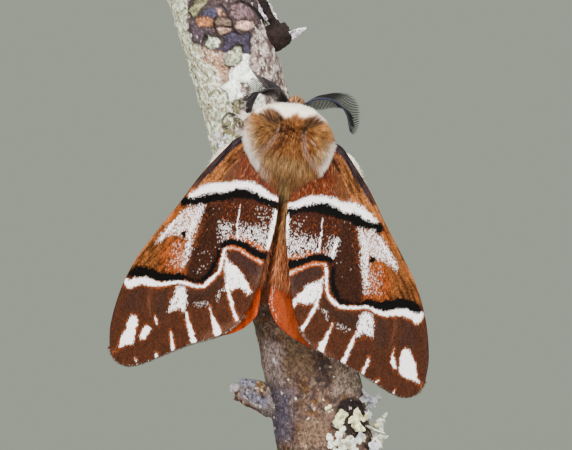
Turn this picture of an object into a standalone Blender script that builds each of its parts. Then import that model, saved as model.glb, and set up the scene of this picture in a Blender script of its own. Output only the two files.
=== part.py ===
"""A male Kentish glory moth at rest, head up, on a short cut length of lichened birch branch.

The branch stands on a plain display stand: a flat base and one short rod. The moth is drawn in its own
frame, in millimetres: +X to its right, +Y towards its head and +Z out of its back, with the origin where the
inner edges of the two forewings meet behind the thorax. World frame: metres, +Z up, the back of the moth
faces -Y, origin under the middle of the base.
"""

import bisect
import math
import random
from dataclasses import dataclass, replace

import bmesh
import bpy
from mathutils import Matrix, Vector, noise
from mathutils.bvhtree import BVHTree

MM = 0.001
GAP = 0.3
WELD = 0.000001

# Where the moth sits, in world millimetres, and how far its head leans to the right of upright.
JUNCTION = Vector((1.15, -8.5, 36.3))
LEAN = math.radians(7.5)

# The soft body: centre and radii of each core, and the flat faces where one meets the next.
THORAX_CENTRE = Vector((0.0, 5.7, -3.1))
THORAX_RADII = Vector((3.7, 4.1, 3.25))
NECK_Y = 8.6
WAIST_Y = 2.0
HEAD_CENTRE = Vector((0.2, 9.6, -4.0))
HEAD_RADII = Vector((1.35, 1.4, 1.3))
EYE_RADIUS = 0.56
EYE_OFFSET = Vector((1.32, 0.1, -0.25))
ABDOMEN_CENTRE = Vector((0.0, -2.9, -4.35))
ABDOMEN_RADII = Vector((1.75, 6.2, 1.7))

# The coat as rings of locks round each core. A ring is its place along the core, its count, the lean of its
# locks from upright (tailward, or headward below zero), their length and width, and the two turns round the
# core from straight up that it spans. All in millimetres and degrees.
THORAX_COAT = (
    (8.6, 11, -64, 2.5, 1.75, -125, 125),
    (7.8, 12, -48, 2.1, 1.8, -125, 125),
    (7.0, 12, -26, 1.7, 1.8, -118, 118),
    (6.2, 11, 26, 1.7, 1.8, -100, 100),
    (5.4, 10, 42, 2.1, 1.8, -88, 88),
    (4.6, 9, 52, 2.9, 1.75, -72, 72),
    (3.8, 6, 52, 3.5, 1.6, -42, 42),
    (7.9, 4, -40, 1.1, 1.6, 140, 220),
    (6.5, 5, 40, 1.1, 1.6, 130, 230),
    (5.0, 5, 56, 1.4, 1.6, 125, 235),
    (3.6, 4, 60, 1.5, 1.5, 130, 230),
)
HEAD_COAT = (
    (10.85, 6, -42, 0.75, 0.7, -180, 180),
    (10.45, 9, -44, 0.85, 0.75, -180, 180),
    (9.8, 9, -52, 0.95, 0.8, -180, 180),
)
ABDOMEN_COAT = (
    (0.6, 6, 62, 1.6, 1.7, 75, 285),
    (-1.4, 6, 66, 1.7, 1.7, 80, 280),
    (-3.3, 6, 66, 1.7, 1.65, 80, 280),
    (-5.1, 6, 66, 1.6, 1.55, 75, 285),
    (-6.7, 7, 60, 1.5, 1.4, 20, 340),
    (-8.0, 5, 45, 1.4, 1.3, 0, 330),
)
LOCK_THICKNESS = 0.66
LOCK_SINK = 0.8
LOCK_ROOT_SHARE = 0.6
LOCK_DROOP = 0.22
LOCK_TIP = 0.14
LOCK_TAPER = 2.4

# Both wings slope down from the ridge like a roof. Wing outlines are (tailward, outward) from the junction.
ROOF = math.radians(33.0)
SPREAD = {"left": math.radians(-2.4), "right": math.radians(2.4)}
REACH = {"left": 0.98, "right": 1.02}
PIVOT = Vector((-6.0, 3.0))
MEMBRANE = 0.5
VEIN = 0.75
CAMBER = 0.55
HIND_CAMBER = 0.3
FORE_COSTA = ((-6.4, 1.4), (-6.9, 4.2), (-6.7, 6.0), (-5.4, 7.5), (-2.6, 10.1), (0.5, 12.4), (3.5, 14.8),
              (6.6, 17.1), (10.1, 18.75), (13.8, 19.6), (16.4, 19.45))
FORE_TERMEN = ((16.4, 19.45), (17.6, 18.6), (18.05, 17.0), (17.6, 15.2), (16.8, 13.4), (15.2, 9.9),
               (13.9, 6.3), (12.9, 4.6), (11.5, 3.3))
FORE_INNER = ((-3.2, 0.9), (-1.0, 0.5), (2.3, 0.6), (6.1, 1.4), (9.8, 2.4), (11.5, 3.3))
FORE_GRID = (22, 16)
HIND_DROP = -1.15
HIND_COSTA = ((-4.2, 2.0), (-5.6, 4.6), (-6.1, 7.3), (-5.2, 9.0), (-3.4, 10.0), (0.0, 11.2), (5.0, 12.7),
              (9.5, 13.4), (12.0, 12.9))
HIND_TERMEN = ((12.0, 12.9), (13.5, 11.4), (14.05, 9.3), (13.85, 6.6), (13.2, 4.6))
HIND_TAIL = {"left": ((12.3, 3.3), (11.3, 2.5), (9.9, 2.3)), "right": ((12.2, 2.4), (11.0, 0.9), (9.4, 0.05))}
HIND_INNER = {"left": ((-1.6, 1.4), (0.5, 1.43), (4.0, 1.76), (8.5, 2.25), (9.9, 2.3)),
              "right": ((-1.6, 1.04), (0.5, 0.89), (4.0, 0.56), (8.5, 0.1), (9.4, 0.05))}
HIND_GRID = (14, 12)

# The veins of a wing: which line across the sheet each runs along, and its two ends along the wing.
FORE_VEINS = {0: (0.0, 1.0), 2: (0.0, 1.0), 4: (0.0, 1.0), 6: (0.5, 1.0), 8: (0.5, 1.0), 10: (0.0, 1.0),
              12: (0.3, 1.0), 14: (0.0, 1.0)}
FORE_CROSS_VEIN = (0.5, 4, 10)
HIND_VEINS = {0: (0.0, 1.0), 2: (0.0, 1.0), 4: (0.43, 1.0), 6: (0.43, 1.0), 8: (0.0, 1.0), 10: (0.0, 1.0)}
HIND_CROSS_VEIN = (0.43, 2, 8)

# The feelers: the stem of each from the head outwards, and the comb teeth along both its sides. Teeth point
# outwards and a little forwards, the outer row longer than the inner one.
STEMS = {
    "left": ((-0.55, 10.45, -2.72), (-0.9, 10.95, -2.45), (-1.5, 11.5, -2.4), (-2.3, 11.8, -2.45),
             (-3.1, 11.6, -2.5), (-3.6, 11.15, -2.55), (-3.95, 10.55, -2.65), (-4.35, 9.9, -2.9),
             (-4.8, 9.2, -3.5)),
    "right": ((0.95, 10.45, -2.72), (1.3, 10.85, -2.45), (1.75, 11.2, -2.4), (2.5, 11.47, -2.4),
              (3.33, 11.52, -2.45), (4.1, 11.26, -2.45), (4.77, 10.83, -2.45), (5.27, 10.17, -2.45),
              (5.57, 9.48, -2.4), (5.95, 8.75, -2.35), (6.35, 8.25, -2.35)),
}
STEM_RADII = (0.3, 0.28, 0.26, 0.25, 0.25)
TEETH = 13
TOOTH_LENGTHS = {"outer": (0.7, 1.0, 1.5, 1.7, 1.65, 1.4, 0.9), "inner": (0.6, 1.0, 1.15, 1.15, 1.0, 0.85, 0.6)}
TOOTH_ROOT = 0.27
TOOTH_TIP = 0.1
TOOTH_FORWARD = {"outer": 0.55, "inner": 0.35}
TOOTH_DROP = 0.25

# The legs: where each leaves the underside, how far its knee stands out, and where its foot grips the bark,
# as a height in world millimetres and a turn round the branch from its front, to the right.
LEGS = {
    "front_left": ((-1.1, 7.4), (-2.0, 8.6, -7.0), 44.6, 8.0, 1.0),
    "front_right": ((1.1, 7.4), (2.8, 8.2, -7.8), 45.0, 62.0, 1.0),
    "mid_left": ((-1.5, 5.7), (-4.0, 5.4, -7.2), 41.4, -30.0, -0.6),
    "mid_right": ((1.5, 5.7), (3.8, 5.6, -8.6), 42.4, 84.0, 0.6),
    "hind_left": ((-1.2, 4.0), (-3.8, 2.6, -7.2), 38.0, -44.0, -1.4),
    "hind_right": ((1.2, 4.0), (3.7, 2.6, -8.0), 38.6, 72.0, -1.4),
}
LEG_RADII = (0.5, 0.5, 0.42, 0.34, 0.27, 0.25)

# The branch: its axis in world millimetres as (x, z) at one depth, and its radius at each point.
BRANCH_Y = 5.3
BRANCH_AXIS = ((6.6, 7.5), (5.56, 13.1), (3.8, 21.5), (0.6, 34.5), (-2.7, 47.8), (-5.8, 57.9), (-7.0, 62.5))
BRANCH_RADII = (5.1, 5.0, 4.75, 4.65, 4.7, 4.85, 4.9)
BRANCH_BOTTOM = 9.5
BRANCH_TOP = 60.0
BARK_RELIEF = 0.28

# Broken twig stubs on the branch, each through world points with a radius at each, and the lobed lichens:
# height, turn round the branch, length, width and tilt of each lobe away from the bark, in degrees.
STUBS = {
    "upper": (((-1.6, 5.0, 52.6), (0.4, 4.6, 53.9), (1.9, 4.3, 54.9)), (1.75, 1.45, 1.05)),
    "upper_tip": (((1.2, 4.5, 54.4), (2.6, 4.2, 55.2), (3.9, 4.0, 56.0)), (0.75, 0.5, 0.26)),
    "torn_bark": (((-1.9, 4.2, 59.2), (-0.6, 3.9, 57.2), (0.7, 4.1, 55.2)), (0.6, 0.95, 0.7)),
    "lower": (((1.6, 5.2, 15.9), (-0.9, 4.7, 16.6), (-3.3, 4.3, 17.4)), (2.1, 1.6, 1.15)),
    "lower_tip": (((-2.9, 4.4, 17.3), (-3.7, 4.2, 17.5), (-4.1, 4.1, 17.5)), (0.75, 0.6, 0.35)),
}
LICHENS = (
    (16.9, 74, 2.1, 1.7, 35), (16.2, 55, 1.7, 1.5, 25), (15.4, 84, 2.4, 1.8, 40), (14.7, 38, 1.9, 1.6, 20),
    (14.4, 66, 2.0, 1.9, 45), (13.3, 88, 2.5, 2.0, 42), (12.9, 30, 1.8, 1.5, 25), (12.6, 54, 2.1, 1.8, 38),
    (11.5, 76, 2.3, 1.9, 40), (11.2, 40, 1.9, 1.7, 30), (45.6, -34, 1.5, 1.2, 25), (44.3, -24, 1.6, 1.2, 30),
    (41.7, -52, 1.5, 1.3, 25), (50.8, -12, 1.6, 1.3, 12), (53.6, 12, 1.8, 1.5, 14), (55.6, -14, 1.8, 1.4, 14),
)
LICHEN_THICKNESS = 0.7
LICHEN_SINK = 0.6

# The display stand.
BASE_SIZE = Vector((54.0, 38.0, 4.5))
BASE_CORNER = 4.0
BASE_EDGE = 0.6
ROD_RADIUS = 2.0

SIDES = {"left": -1, "right": 1}
MOTH_FRAME = Matrix.Translation(JUNCTION) @ Matrix((
    (math.cos(LEAN), math.sin(LEAN), 0, 0),
    (0, 0, -1, 0),
    (-math.sin(LEAN), math.cos(LEAN), 0, 0),
    (0, 0, 0, 1),
))


def clear_scene():
    """Empties the startup scene."""
    for obj in list(bpy.data.objects):
        bpy.data.objects.remove(obj, do_unlink=True)


def make_collection(name):
    """A new collection in the scene."""
    made = bpy.data.collections.new(name)
    bpy.context.scene.collection.children.link(made)
    return made


def make_material(name, colour, roughness, metallic=0.0):
    """A Principled material with one colour."""
    made = bpy.data.materials.new(name)
    made.use_nodes = True
    shader = made.node_tree.nodes["Principled BSDF"]
    shader.inputs["Base Color"].default_value = (*colour, 1.0)
    shader.inputs["Roughness"].default_value = roughness
    shader.inputs["Metallic"].default_value = metallic
    return made


def add_mesh(name, mesh, material, smooth_deg=None):
    """Links a mesh to the scene as a named object with one material."""
    mesh.materials.clear()
    mesh.materials.append(material)
    if smooth_deg is not None:
        mesh.shade_smooth()
        mesh.set_sharp_from_angle(angle=math.radians(smooth_deg))
    made = bpy.data.objects.new(name, mesh)
    bpy.context.scene.collection.objects.link(made)
    return made


def add_object(name, bm, material, frame=Matrix(), smooth_deg=None):
    """Turns a bmesh drawn in millimetres in some frame into a named object in metres."""
    bmesh.ops.transform(bm, matrix=Matrix.Scale(MM, 4) @ frame, verts=bm.verts)
    bmesh.ops.recalc_face_normals(bm, faces=bm.faces)
    mesh = bpy.data.meshes.new(name)
    bm.to_mesh(mesh)
    bm.free()
    return add_mesh(name, mesh, material, smooth_deg)


def evaluated_mesh(obj):
    """What an object's modifiers or curve settings make of it."""
    bpy.context.view_layer.update()
    graph = bpy.context.evaluated_depsgraph_get()
    return bpy.data.meshes.new_from_object(obj.evaluated_get(graph))


def apply_modifiers(obj):
    """Replaces an object's mesh by what its modifiers make of it."""
    shaped = evaluated_mesh(obj)
    obj.modifiers.clear()
    obj.data = shaped


def keep_largest(obj):
    """Drops every loose scrap of a mesh but its largest closed surface."""
    bm = bmesh.new()
    bm.from_mesh(obj.data)
    islands, seen = [], set()
    for start in bm.verts:
        if start in seen:
            continue
        island, waiting = {start}, [start]
        while waiting:
            vert = waiting.pop()
            for edge in vert.link_edges:
                other = edge.other_vert(vert)
                if other not in island:
                    island.add(other)
                    waiting.append(other)
        seen |= island
        islands.append(island)
    largest = max(islands, key=len)
    bmesh.ops.delete(bm, geom=[v for v in bm.verts if v not in largest], context="VERTS")
    bm.to_mesh(obj.data)
    bm.free()


def combine(obj, others, operation):
    """Joins other closed meshes to an object, or cuts them from it, and removes them."""
    tools = make_collection("boolean_tools")
    for other in others:
        for home in list(other.users_collection):
            home.objects.unlink(other)
        tools.objects.link(other)
    modifier = obj.modifiers.new("combine", "BOOLEAN")
    modifier.operation = operation
    modifier.operand_type = "COLLECTION"
    modifier.collection = tools
    modifier.solver = "EXACT"
    apply_modifiers(obj)
    for other in others:
        bpy.data.objects.remove(other, do_unlink=True)
    bpy.data.collections.remove(tools)
    keep_largest(obj)


class Line:
    """A smooth curve through a few points, measured along its length."""

    def __init__(self, points, samples=160):
        self.points = [Vector(p) for p in points]
        self.line = [self.spline(i / samples) for i in range(samples + 1)]
        self.lengths = [0.0]
        for a, b in zip(self.line, self.line[1:]):
            self.lengths.append(self.lengths[-1] + (b - a).length)

    def spline(self, share):
        """A point at a share of the way, each step between two points counting alike."""
        steps = len(self.points) - 1
        index = min(int(share * steps), steps - 1)
        f = share * steps - index
        p1, p2 = self.points[index], self.points[index + 1]
        p0 = self.points[index - 1] if index else p1 * 2 - p2
        p3 = self.points[index + 2] if index + 2 <= steps else p2 * 2 - p1
        return 0.5 * (2 * p1 + (p2 - p0) * f + (2 * p0 - 5 * p1 + 4 * p2 - p3) * f**2
                      + (3 * p1 - p0 - 3 * p2 + p3) * f**3)

    def at(self, share):
        """A point at a share of the curve's length."""
        wanted = min(max(share, 0.0), 1.0) * self.lengths[-1]
        index = min(max(bisect.bisect_left(self.lengths, wanted) - 1, 0), len(self.line) - 2)
        step = self.lengths[index + 1] - self.lengths[index]
        return self.line[index].lerp(self.line[index + 1], (wanted - self.lengths[index]) / step)


def ellipsoid_level(point, centre, radii):
    """Below 1 inside an ellipsoid, 1 on it and more outside."""
    away = point - centre
    return math.sqrt(sum((away[i] / radii[i]) ** 2 for i in range(3)))


def add_ellipsoid(bm, centre, radii, around, along):
    """Adds an ellipsoid with its poles on the Y axis."""
    made = bmesh.ops.create_uvsphere(bm, u_segments=around, v_segments=along, radius=1.0)
    bmesh.ops.rotate(bm, verts=made["verts"], matrix=Matrix.Rotation(math.pi / 2, 3, "X"))
    bmesh.ops.scale(bm, vec=radii, verts=made["verts"])
    bmesh.ops.translate(bm, vec=centre, verts=made["verts"])


def cut_flat(bm, point, outward):
    """Cuts away everything beyond a plane and closes the cut with a flat face."""
    cut = bmesh.ops.bisect_plane(bm, geom=bm.verts[:] + bm.edges[:] + bm.faces[:], plane_co=point,
                                 plane_no=outward, clear_outer=True)
    rim = [e for e in cut["geom_cut"] if isinstance(e, bmesh.types.BMEdge)]
    bmesh.ops.holes_fill(bm, edges=rim)


def core_object(name, centre, radii, planes, material, around=24, along=16):
    """An ellipsoid of the body, with flat faces where it meets its neighbours."""
    bm = bmesh.new()
    add_ellipsoid(bm, centre, radii, around, along)
    for y, outward in planes:
        cut_flat(bm, Vector((0, y, 0)), Vector((0, outward, 0)))
    return add_object(name, bm, material, MOTH_FRAME, 50)


def tube_object(name, points, radii, roundness, material):
    """A closed tube through points in world millimetres, with its own radius at each."""
    curve = bpy.data.curves.new(name, "CURVE")
    curve.dimensions = "3D"
    curve.render_resolution_u = 0
    curve.bevel_depth = MM
    curve.bevel_resolution = roundness
    curve.use_fill_caps = True
    line = curve.splines.new("POLY")
    line.points.add(len(points) - 1)
    for place, point, radius in zip(line.points, points, radii):
        place.co = (*(point * MM), 1.0)
        place.radius = radius
    drawn = bpy.data.objects.new(name, curve)
    bpy.context.scene.collection.objects.link(drawn)
    mesh = evaluated_mesh(drawn)
    bpy.data.objects.remove(drawn, do_unlink=True)
    bpy.data.curves.remove(curve)
    bm = bmesh.new()
    bm.from_mesh(mesh)
    bmesh.ops.remove_doubles(bm, verts=bm.verts, dist=WELD)
    bmesh.ops.recalc_face_normals(bm, faces=bm.faces)
    bm.to_mesh(mesh)
    bm.free()
    return add_mesh(name, mesh, material, 40)


class WingPlan:
    """A wing's sheet, spanned between its front edge, inner edge, root and outer edge."""

    def __init__(self, costa, termen, inner, camber, drop, side):
        self.costa, self.termen, self.inner = Line(costa), Line(termen), Line(inner)
        self.camber, self.drop, self.side = camber, drop, side

    def flat(self, s, t):
        """(tailward, outward) at s along the wing and t across it."""
        corner_front, corner_back = self.costa.at(0), self.inner.at(0)
        root = corner_front.lerp(corner_back, t)
        rim = self.termen.at(t)
        edges = self.costa.at(s).lerp(self.inner.at(s), t) + root * (1 - s) + rim * s
        return edges - root * (1 - s) - self.costa.at(1).lerp(self.inner.at(1), t) * s

    def place(self, s, t):
        """The same point in the moth's frame, on the gently arched sheet."""
        arch = self.camber * math.sin(math.pi * t) * math.sin(math.pi * min(s, 0.98) ** 0.8)
        height = self.drop + arch
        from_pivot = Matrix.Rotation(SPREAD[self.side], 2) @ (self.flat(s, t) - PIVOT)
        tailward = (PIVOT.x + from_pivot.x) * REACH[self.side]
        outward = PIVOT.y + from_pivot.y
        return Vector((SIDES[self.side] * (outward * math.cos(ROOF) + height * math.sin(ROOF)), -tailward,
                       height * math.cos(ROOF) - outward * math.sin(ROOF)))

    def clear_share(self, t):
        """How far along the wing it comes clear of the thorax."""
        margin = GAP + VEIN / 2 + 0.05
        radii = THORAX_RADII + Vector((margin, margin, margin))
        step = 0.004
        s = 0.0
        while ellipsoid_level(self.place(s, t), THORAX_CENTRE, radii) < 1:
            s += step
        return s


def wing_object(name, plan, grid, veins, cross_vein, material):
    """A wing as a sheet with its veins raised on both faces."""
    along, across = grid
    cross_share, cross_first, cross_last = cross_vein
    starts = [plan.clear_share(line / across) for line in range(across + 1)]
    bm = bmesh.new()
    bmesh.ops.create_grid(bm, x_segments=along, y_segments=across, size=1.0)
    weights = []
    for v in bm.verts:
        column, line = round((v.co.x + 1) / 2 * along), round((v.co.y + 1) / 2 * across)
        share = column / along
        first, last = veins.get(line, (1.0, 0.0))
        crossing = column == round(cross_share * along) and cross_first <= line <= cross_last
        weights.append(1.0 if crossing or first <= share <= last else 0.0)
        v.co = plan.place(starts[line] + (1 - starts[line]) * share, line / across)
    bmesh.ops.triangulate(bm, faces=bm.faces, quad_method="FIXED")
    made = add_object(name, bm, material, MOTH_FRAME, 50)
    group = made.vertex_groups.new(name="veins")
    for index, weight in enumerate(weights):
        group.add([index], weight, "REPLACE")
    sheet = made.modifiers.new("membrane", "SOLIDIFY")
    sheet.thickness = VEIN * MM
    sheet.offset = 0.0
    sheet.vertex_group = group.name
    sheet.thickness_vertex_group = MEMBRANE / VEIN
    apply_modifiers(made)
    return made


def build_forewing(side, material):
    """One forewing."""
    plan = WingPlan(FORE_COSTA, FORE_TERMEN, FORE_INNER, CAMBER, 0.0, side)
    return wing_object(f"forewing_{side}", plan, FORE_GRID, FORE_VEINS, FORE_CROSS_VEIN, material)


def build_hindwing(side, material):
    """One hindwing, folded under the forewing."""
    plan = WingPlan(HIND_COSTA, HIND_TERMEN + HIND_TAIL[side], HIND_INNER[side], HIND_CAMBER, HIND_DROP, side)
    return wing_object(f"hindwing_{side}", plan, HIND_GRID, HIND_VEINS, HIND_CROSS_VEIN, material)


@dataclass
class Lock:
    """A flat tapered lock of hair: where it grows, which way it lies, and its size."""

    root: Vector
    normal: Vector
    lie: Vector
    lean: float
    length: float
    width: float

    def section(self, f):
        """The four corners of the lock's cross section at a share of its length from the sunken root."""
        along = self.normal * math.cos(self.lean) + self.lie * math.sin(self.lean)
        side = along.cross(self.normal).normalized()
        lift = side.cross(along)
        sink = min(LOCK_SINK, LOCK_ROOT_SHARE * self.length)
        reach = f * (self.length + sink) - sink
        centre = self.root + along * reach - self.normal * (LOCK_DROOP * f**2 * self.length)
        taper = 1 - (1 - LOCK_TIP) * f**LOCK_TAPER
        wide, thick = side * (self.width / 2 * taper), lift * (LOCK_THICKNESS / 2 * taper)
        return [centre + wide, centre + thick, centre - wide, centre - thick]

    def raised(self, angle, share):
        """The same lock standing up more and cut shorter."""
        lean = math.copysign(max(abs(self.lean) - angle, 0.0), self.lean)
        return replace(self, lean=lean, length=self.length * share)

    def is_clear(self, trees):
        """Whether it keeps the gap to every neighbour."""
        steps = 12
        for i in range(steps + 1):
            for corner in self.section(i / steps):
                place = (MOTH_FRAME @ corner) * MM
                if any(tree.find_nearest(place, (GAP + 0.08) * MM)[0] for tree in trees):
                    return False
        return True

    def build(self, material):
        """The lock as a closed object of its own, ready to be joined."""
        bm = bmesh.new()
        bmesh.ops.create_cone(bm, cap_ends=True, segments=4, radius1=1.0, radius2=1.0, depth=1.0)
        upright = [e for e in bm.edges if abs(e.verts[0].co.z - e.verts[1].co.z) > 0.5]
        bmesh.ops.subdivide_edges(bm, edges=upright, cuts=2)
        for v in bm.verts:
            quarter = round(math.atan2(v.co.y, v.co.x) / (math.pi / 2)) % 4
            v.co = self.section(v.co.z + 0.5)[quarter]
        return add_object("lock", bm, material, MOTH_FRAME)


def ring_locks(centre, radii, ring, draw):
    """The locks of one ring round an ellipsoid, each a little different."""
    y, count, lean, length, width, first, last = ring
    for i in range(count):
        turn = math.radians(first + (last - first) * (i + 0.5) / count + draw.uniform(-4, 4))
        place = y + draw.uniform(-0.15, 0.15)
        across = math.sqrt(1 - ((place - centre.y) / radii.y) ** 2)
        root = Vector((centre.x + radii.x * across * math.sin(turn), place,
                       centre.z + radii.z * across * math.cos(turn)))
        normal = Vector([(root[k] - centre[k]) / radii[k] ** 2 for k in range(3)]).normalized()
        tail = Vector((draw.uniform(-0.12, 0.12), -1, 0))
        lie = (tail - normal * tail.dot(normal)).normalized()
        yield Lock(root, normal, lie, math.radians(lean + draw.uniform(-5, 5)),
                   length * draw.uniform(0.9, 1.1), width * draw.uniform(0.9, 1.1))


def settle(lock, trees):
    """Raises a lock, then shortens it, until it is clear of its neighbours."""
    for share in (1.0, 0.85, 0.7, 0.55):
        for angle in range(0, 64, 8):
            tried = lock.raised(math.radians(angle), share)
            if tried.is_clear(trees):
                return tried
    return None


def grow_coat(node, centre, radii, rings, neighbours, seed, material):
    """Covers a core with its rings of locks and joins them to it."""
    draw = random.Random(seed)
    trees = [surface_tree(obj) for obj in neighbours]
    settled = [settle(lock, trees) for ring in rings for lock in ring_locks(centre, radii, ring, draw)]
    combine(node, [lock.build(material) for lock in settled if lock], "UNION")


def build_thorax(material):
    """The core of the thorax between the neck and the waist."""
    planes = ((NECK_Y - GAP / 2, 1), (WAIST_Y + GAP / 2, -1))
    return core_object("thorax", THORAX_CENTRE, THORAX_RADII, planes, material, 20, 14)


def eye_centre(side):
    """The centre of an eye."""
    return HEAD_CENTRE + Vector((EYE_OFFSET.x * SIDES[side], EYE_OFFSET.y, EYE_OFFSET.z))


def eye_ball(name, side, radius, material):
    """A ball at an eye's place."""
    bm = bmesh.new()
    bmesh.ops.create_icosphere(bm, subdivisions=2, radius=radius)
    bmesh.ops.translate(bm, vec=eye_centre(side), verts=bm.verts)
    return add_object(name, bm, material, MOTH_FRAME, 60)


def build_head(material):
    """The core of the head, flat at the neck, with a socket for each eye."""
    head = core_object("head", HEAD_CENTRE, HEAD_RADII, ((NECK_Y + GAP / 2, -1),), material, 16, 10)
    sockets = [eye_ball("socket", side, EYE_RADIUS + GAP, material) for side in SIDES]
    combine(head, sockets, "DIFFERENCE")
    return head


def build_abdomen(material):
    """The core of the abdomen, flat at the waist."""
    planes = ((WAIST_Y - GAP / 2, 1),)
    return core_object("abdomen", ABDOMEN_CENTRE, ABDOMEN_RADII, planes, material, 16, 14)


def tooth_object(root, tip, material):
    """One tooth of a feeler's comb, tapering to its tip."""
    bm = bmesh.new()
    reach = tip - root
    bmesh.ops.create_cone(bm, cap_ends=True, segments=4, radius1=TOOTH_ROOT, radius2=TOOTH_TIP, depth=reach.length)
    turn = reach.to_track_quat("Z", "Y").to_matrix().to_4x4()
    bmesh.ops.transform(bm, matrix=Matrix.Translation((root + tip) / 2) @ turn, verts=bm.verts)
    return add_object("tooth", bm, material, MOTH_FRAME)


def build_antenna(side, material):
    """One feeler: a curved stem with a row of comb teeth along each side."""
    stem = Line(STEMS[side])
    count = 14
    thickness = Line([(radius, i * 2.0) for i, radius in enumerate(STEM_RADII)])
    points = [MOTH_FRAME @ stem.at(i / count) for i in range(count + 1)]
    radii = [thickness.at(i / count).x for i in range(count + 1)]
    antenna = tube_object(f"antenna_{side}", points, radii, 1, material)
    teeth = []
    for row, lengths in TOOTH_LENGTHS.items():
        profile = Line([(length, i * 2.0) for i, length in enumerate(lengths)])
        sign = SIDES[side] * (-1 if row == "outer" else 1)
        for i in range(TEETH):
            share = (i + 1.3) / (TEETH + 0.6)
            root = stem.at(share)
            tangent = (stem.at(share + 0.02) - stem.at(share - 0.02)).normalized()
            across = Vector((0, 0, 1)).cross(tangent).normalized() * -sign
            reach = (across + tangent * TOOTH_FORWARD[row] - Vector((0, 0, TOOTH_DROP))).normalized()
            length = profile.at((i + 0.5) / TEETH).x
            teeth.append(tooth_object(root, root + reach * length, material))
    combine(antenna, teeth, "UNION")
    return antenna


def surface_tree(obj):
    """An object's surface, ready to be measured against."""
    return BVHTree.FromPolygons([v.co for v in obj.data.vertices], [p.vertices for p in obj.data.polygons])


def branch_axis(z):
    """The point of the branch's axis at a height in world millimetres."""
    line = Line([(x, BRANCH_Y, height) for x, height in BRANCH_AXIS])
    return min(line.line, key=lambda p: abs(p.z - z))


def bark_grip(bark, z, turn_deg, lift):
    """A point at a height and a turn round the branch, a little off the bark."""
    axis = branch_axis(z)
    turn = math.radians(turn_deg)
    outward = Vector((math.sin(turn), -math.cos(turn), 0))
    far = 12.0
    hit = bark.ray_cast((axis + outward * far) * MM, -outward)[0]
    return hit / MM + outward * lift


def build_leg(name, bark, material):
    """One leg, from the underside of the thorax out over the knee to the foot on the bark."""
    (x, y), knee, foot_z, foot_turn, foot_length = LEGS[name]
    away = Vector((x, y, 0)) - Vector((THORAX_CENTRE.x, THORAX_CENTRE.y, 0))
    depth = math.sqrt(1 - (away.x / THORAX_RADII.x) ** 2 - (away.y / THORAX_RADII.y) ** 2)
    hip = Vector((x, y, THORAX_CENTRE.z - THORAX_RADII.z * depth))
    down = Vector([(hip[i] - THORAX_CENTRE[i]) / THORAX_RADII[i] ** 2 for i in range(3)]).normalized()
    off_bark = GAP + LEG_RADII[-1] + 0.1
    heel = bark_grip(bark, foot_z, foot_turn, off_bark + 0.25)
    toe = bark_grip(bark, foot_z + foot_length, foot_turn, off_bark)
    coxa = [MOTH_FRAME @ (hip + down * off) for off in (GAP + 0.14, GAP + 0.56)]
    path = Line([*coxa, MOTH_FRAME @ Vector(knee), heel, toe])
    shares = [0.0, 0.06] + [i / 10 for i in range(1, 11)]
    thickness = Line([(r, i * 0.4) for i, r in enumerate(LEG_RADII)])
    radii = [thickness.at(share).x for share in shares]
    return tube_object(f"leg_{name}", [path.at(share) for share in shares], radii, 2, material)


def build_branch(material):
    """The cut length of branch, its bark uneven, sawn level at both ends."""
    axis = Line([(x, BRANCH_Y, z) for x, z in BRANCH_AXIS])
    thickness = Line([(radius, i * 8.0) for i, radius in enumerate(BRANCH_RADII)])
    count = 23
    points = [axis.at(i / count) for i in range(count + 1)]
    radii = [thickness.at(i / count).x for i in range(count + 1)]
    branch = tube_object("perch_branch", points, radii, 9, material)
    bm = bmesh.new()
    bm.from_mesh(branch.data)
    bm.normal_update()
    for v in bm.verts:
        place = v.co / MM
        coarse = noise.noise(Vector((place.x, place.y, place.z * 0.5)) * 0.35)
        fine = noise.noise(Vector((place.x, place.y, place.z * 0.6)) * 0.9)
        v.co += v.normal * BARK_RELIEF * (coarse + 0.6 * fine) * MM
    cut_flat(bm, Vector((0, 0, BRANCH_BOTTOM * MM)), Vector((0, 0, -1)))
    cut_flat(bm, Vector((0, 0, BRANCH_TOP * MM)), Vector((0, 0, 1)))
    bmesh.ops.recalc_face_normals(bm, faces=bm.faces)
    bm.to_mesh(branch.data)
    bm.free()
    grip = surface_tree(branch)
    growths = [tube_object("stub", [Vector(p) for p in path], radii, 1, material) for path, radii in STUBS.values()]
    growths += [lichen_lobe(grip, i, place, material) for i, place in enumerate(LICHENS)]
    combine(branch, growths, "UNION")
    return branch


def lichen_lobe(bark, index, place, material):
    """One leafy lobe of lichen, its root sunk in the bark."""
    z, turn_deg, length, width, tilt_deg = place
    draw = random.Random(index)
    root = bark_grip(bark, z, turn_deg, 0)
    turn = math.radians(turn_deg)
    outward = Vector((math.sin(turn), -math.cos(turn), 0))
    spin = math.radians(draw.uniform(-160, 160))
    sideways = Vector((math.cos(turn), math.sin(turn), 0))
    lie = sideways * math.cos(spin) + Vector((0, 0, 1)) * math.sin(spin)
    tilt = math.radians(tilt_deg)
    along = lie * math.cos(tilt) + outward * math.sin(tilt)
    across = along.cross(outward).normalized()
    lift = across.cross(along)
    bm = bmesh.new()
    bmesh.ops.create_cone(bm, cap_ends=True, segments=7, radius1=1.0, radius2=0.8, depth=1.0)
    for v in bm.verts:
        bulge = draw.uniform(0.85, 1.15)
        flat = along * (v.co.x * length * bulge * 0.7 + length * 0.25) + across * (v.co.y * width * bulge * 0.6)
        v.co = root + flat + lift * (v.co.z * LICHEN_THICKNESS) - outward * (LICHEN_SINK * 0.35)
    return add_object("lobe", bm, material)


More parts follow.
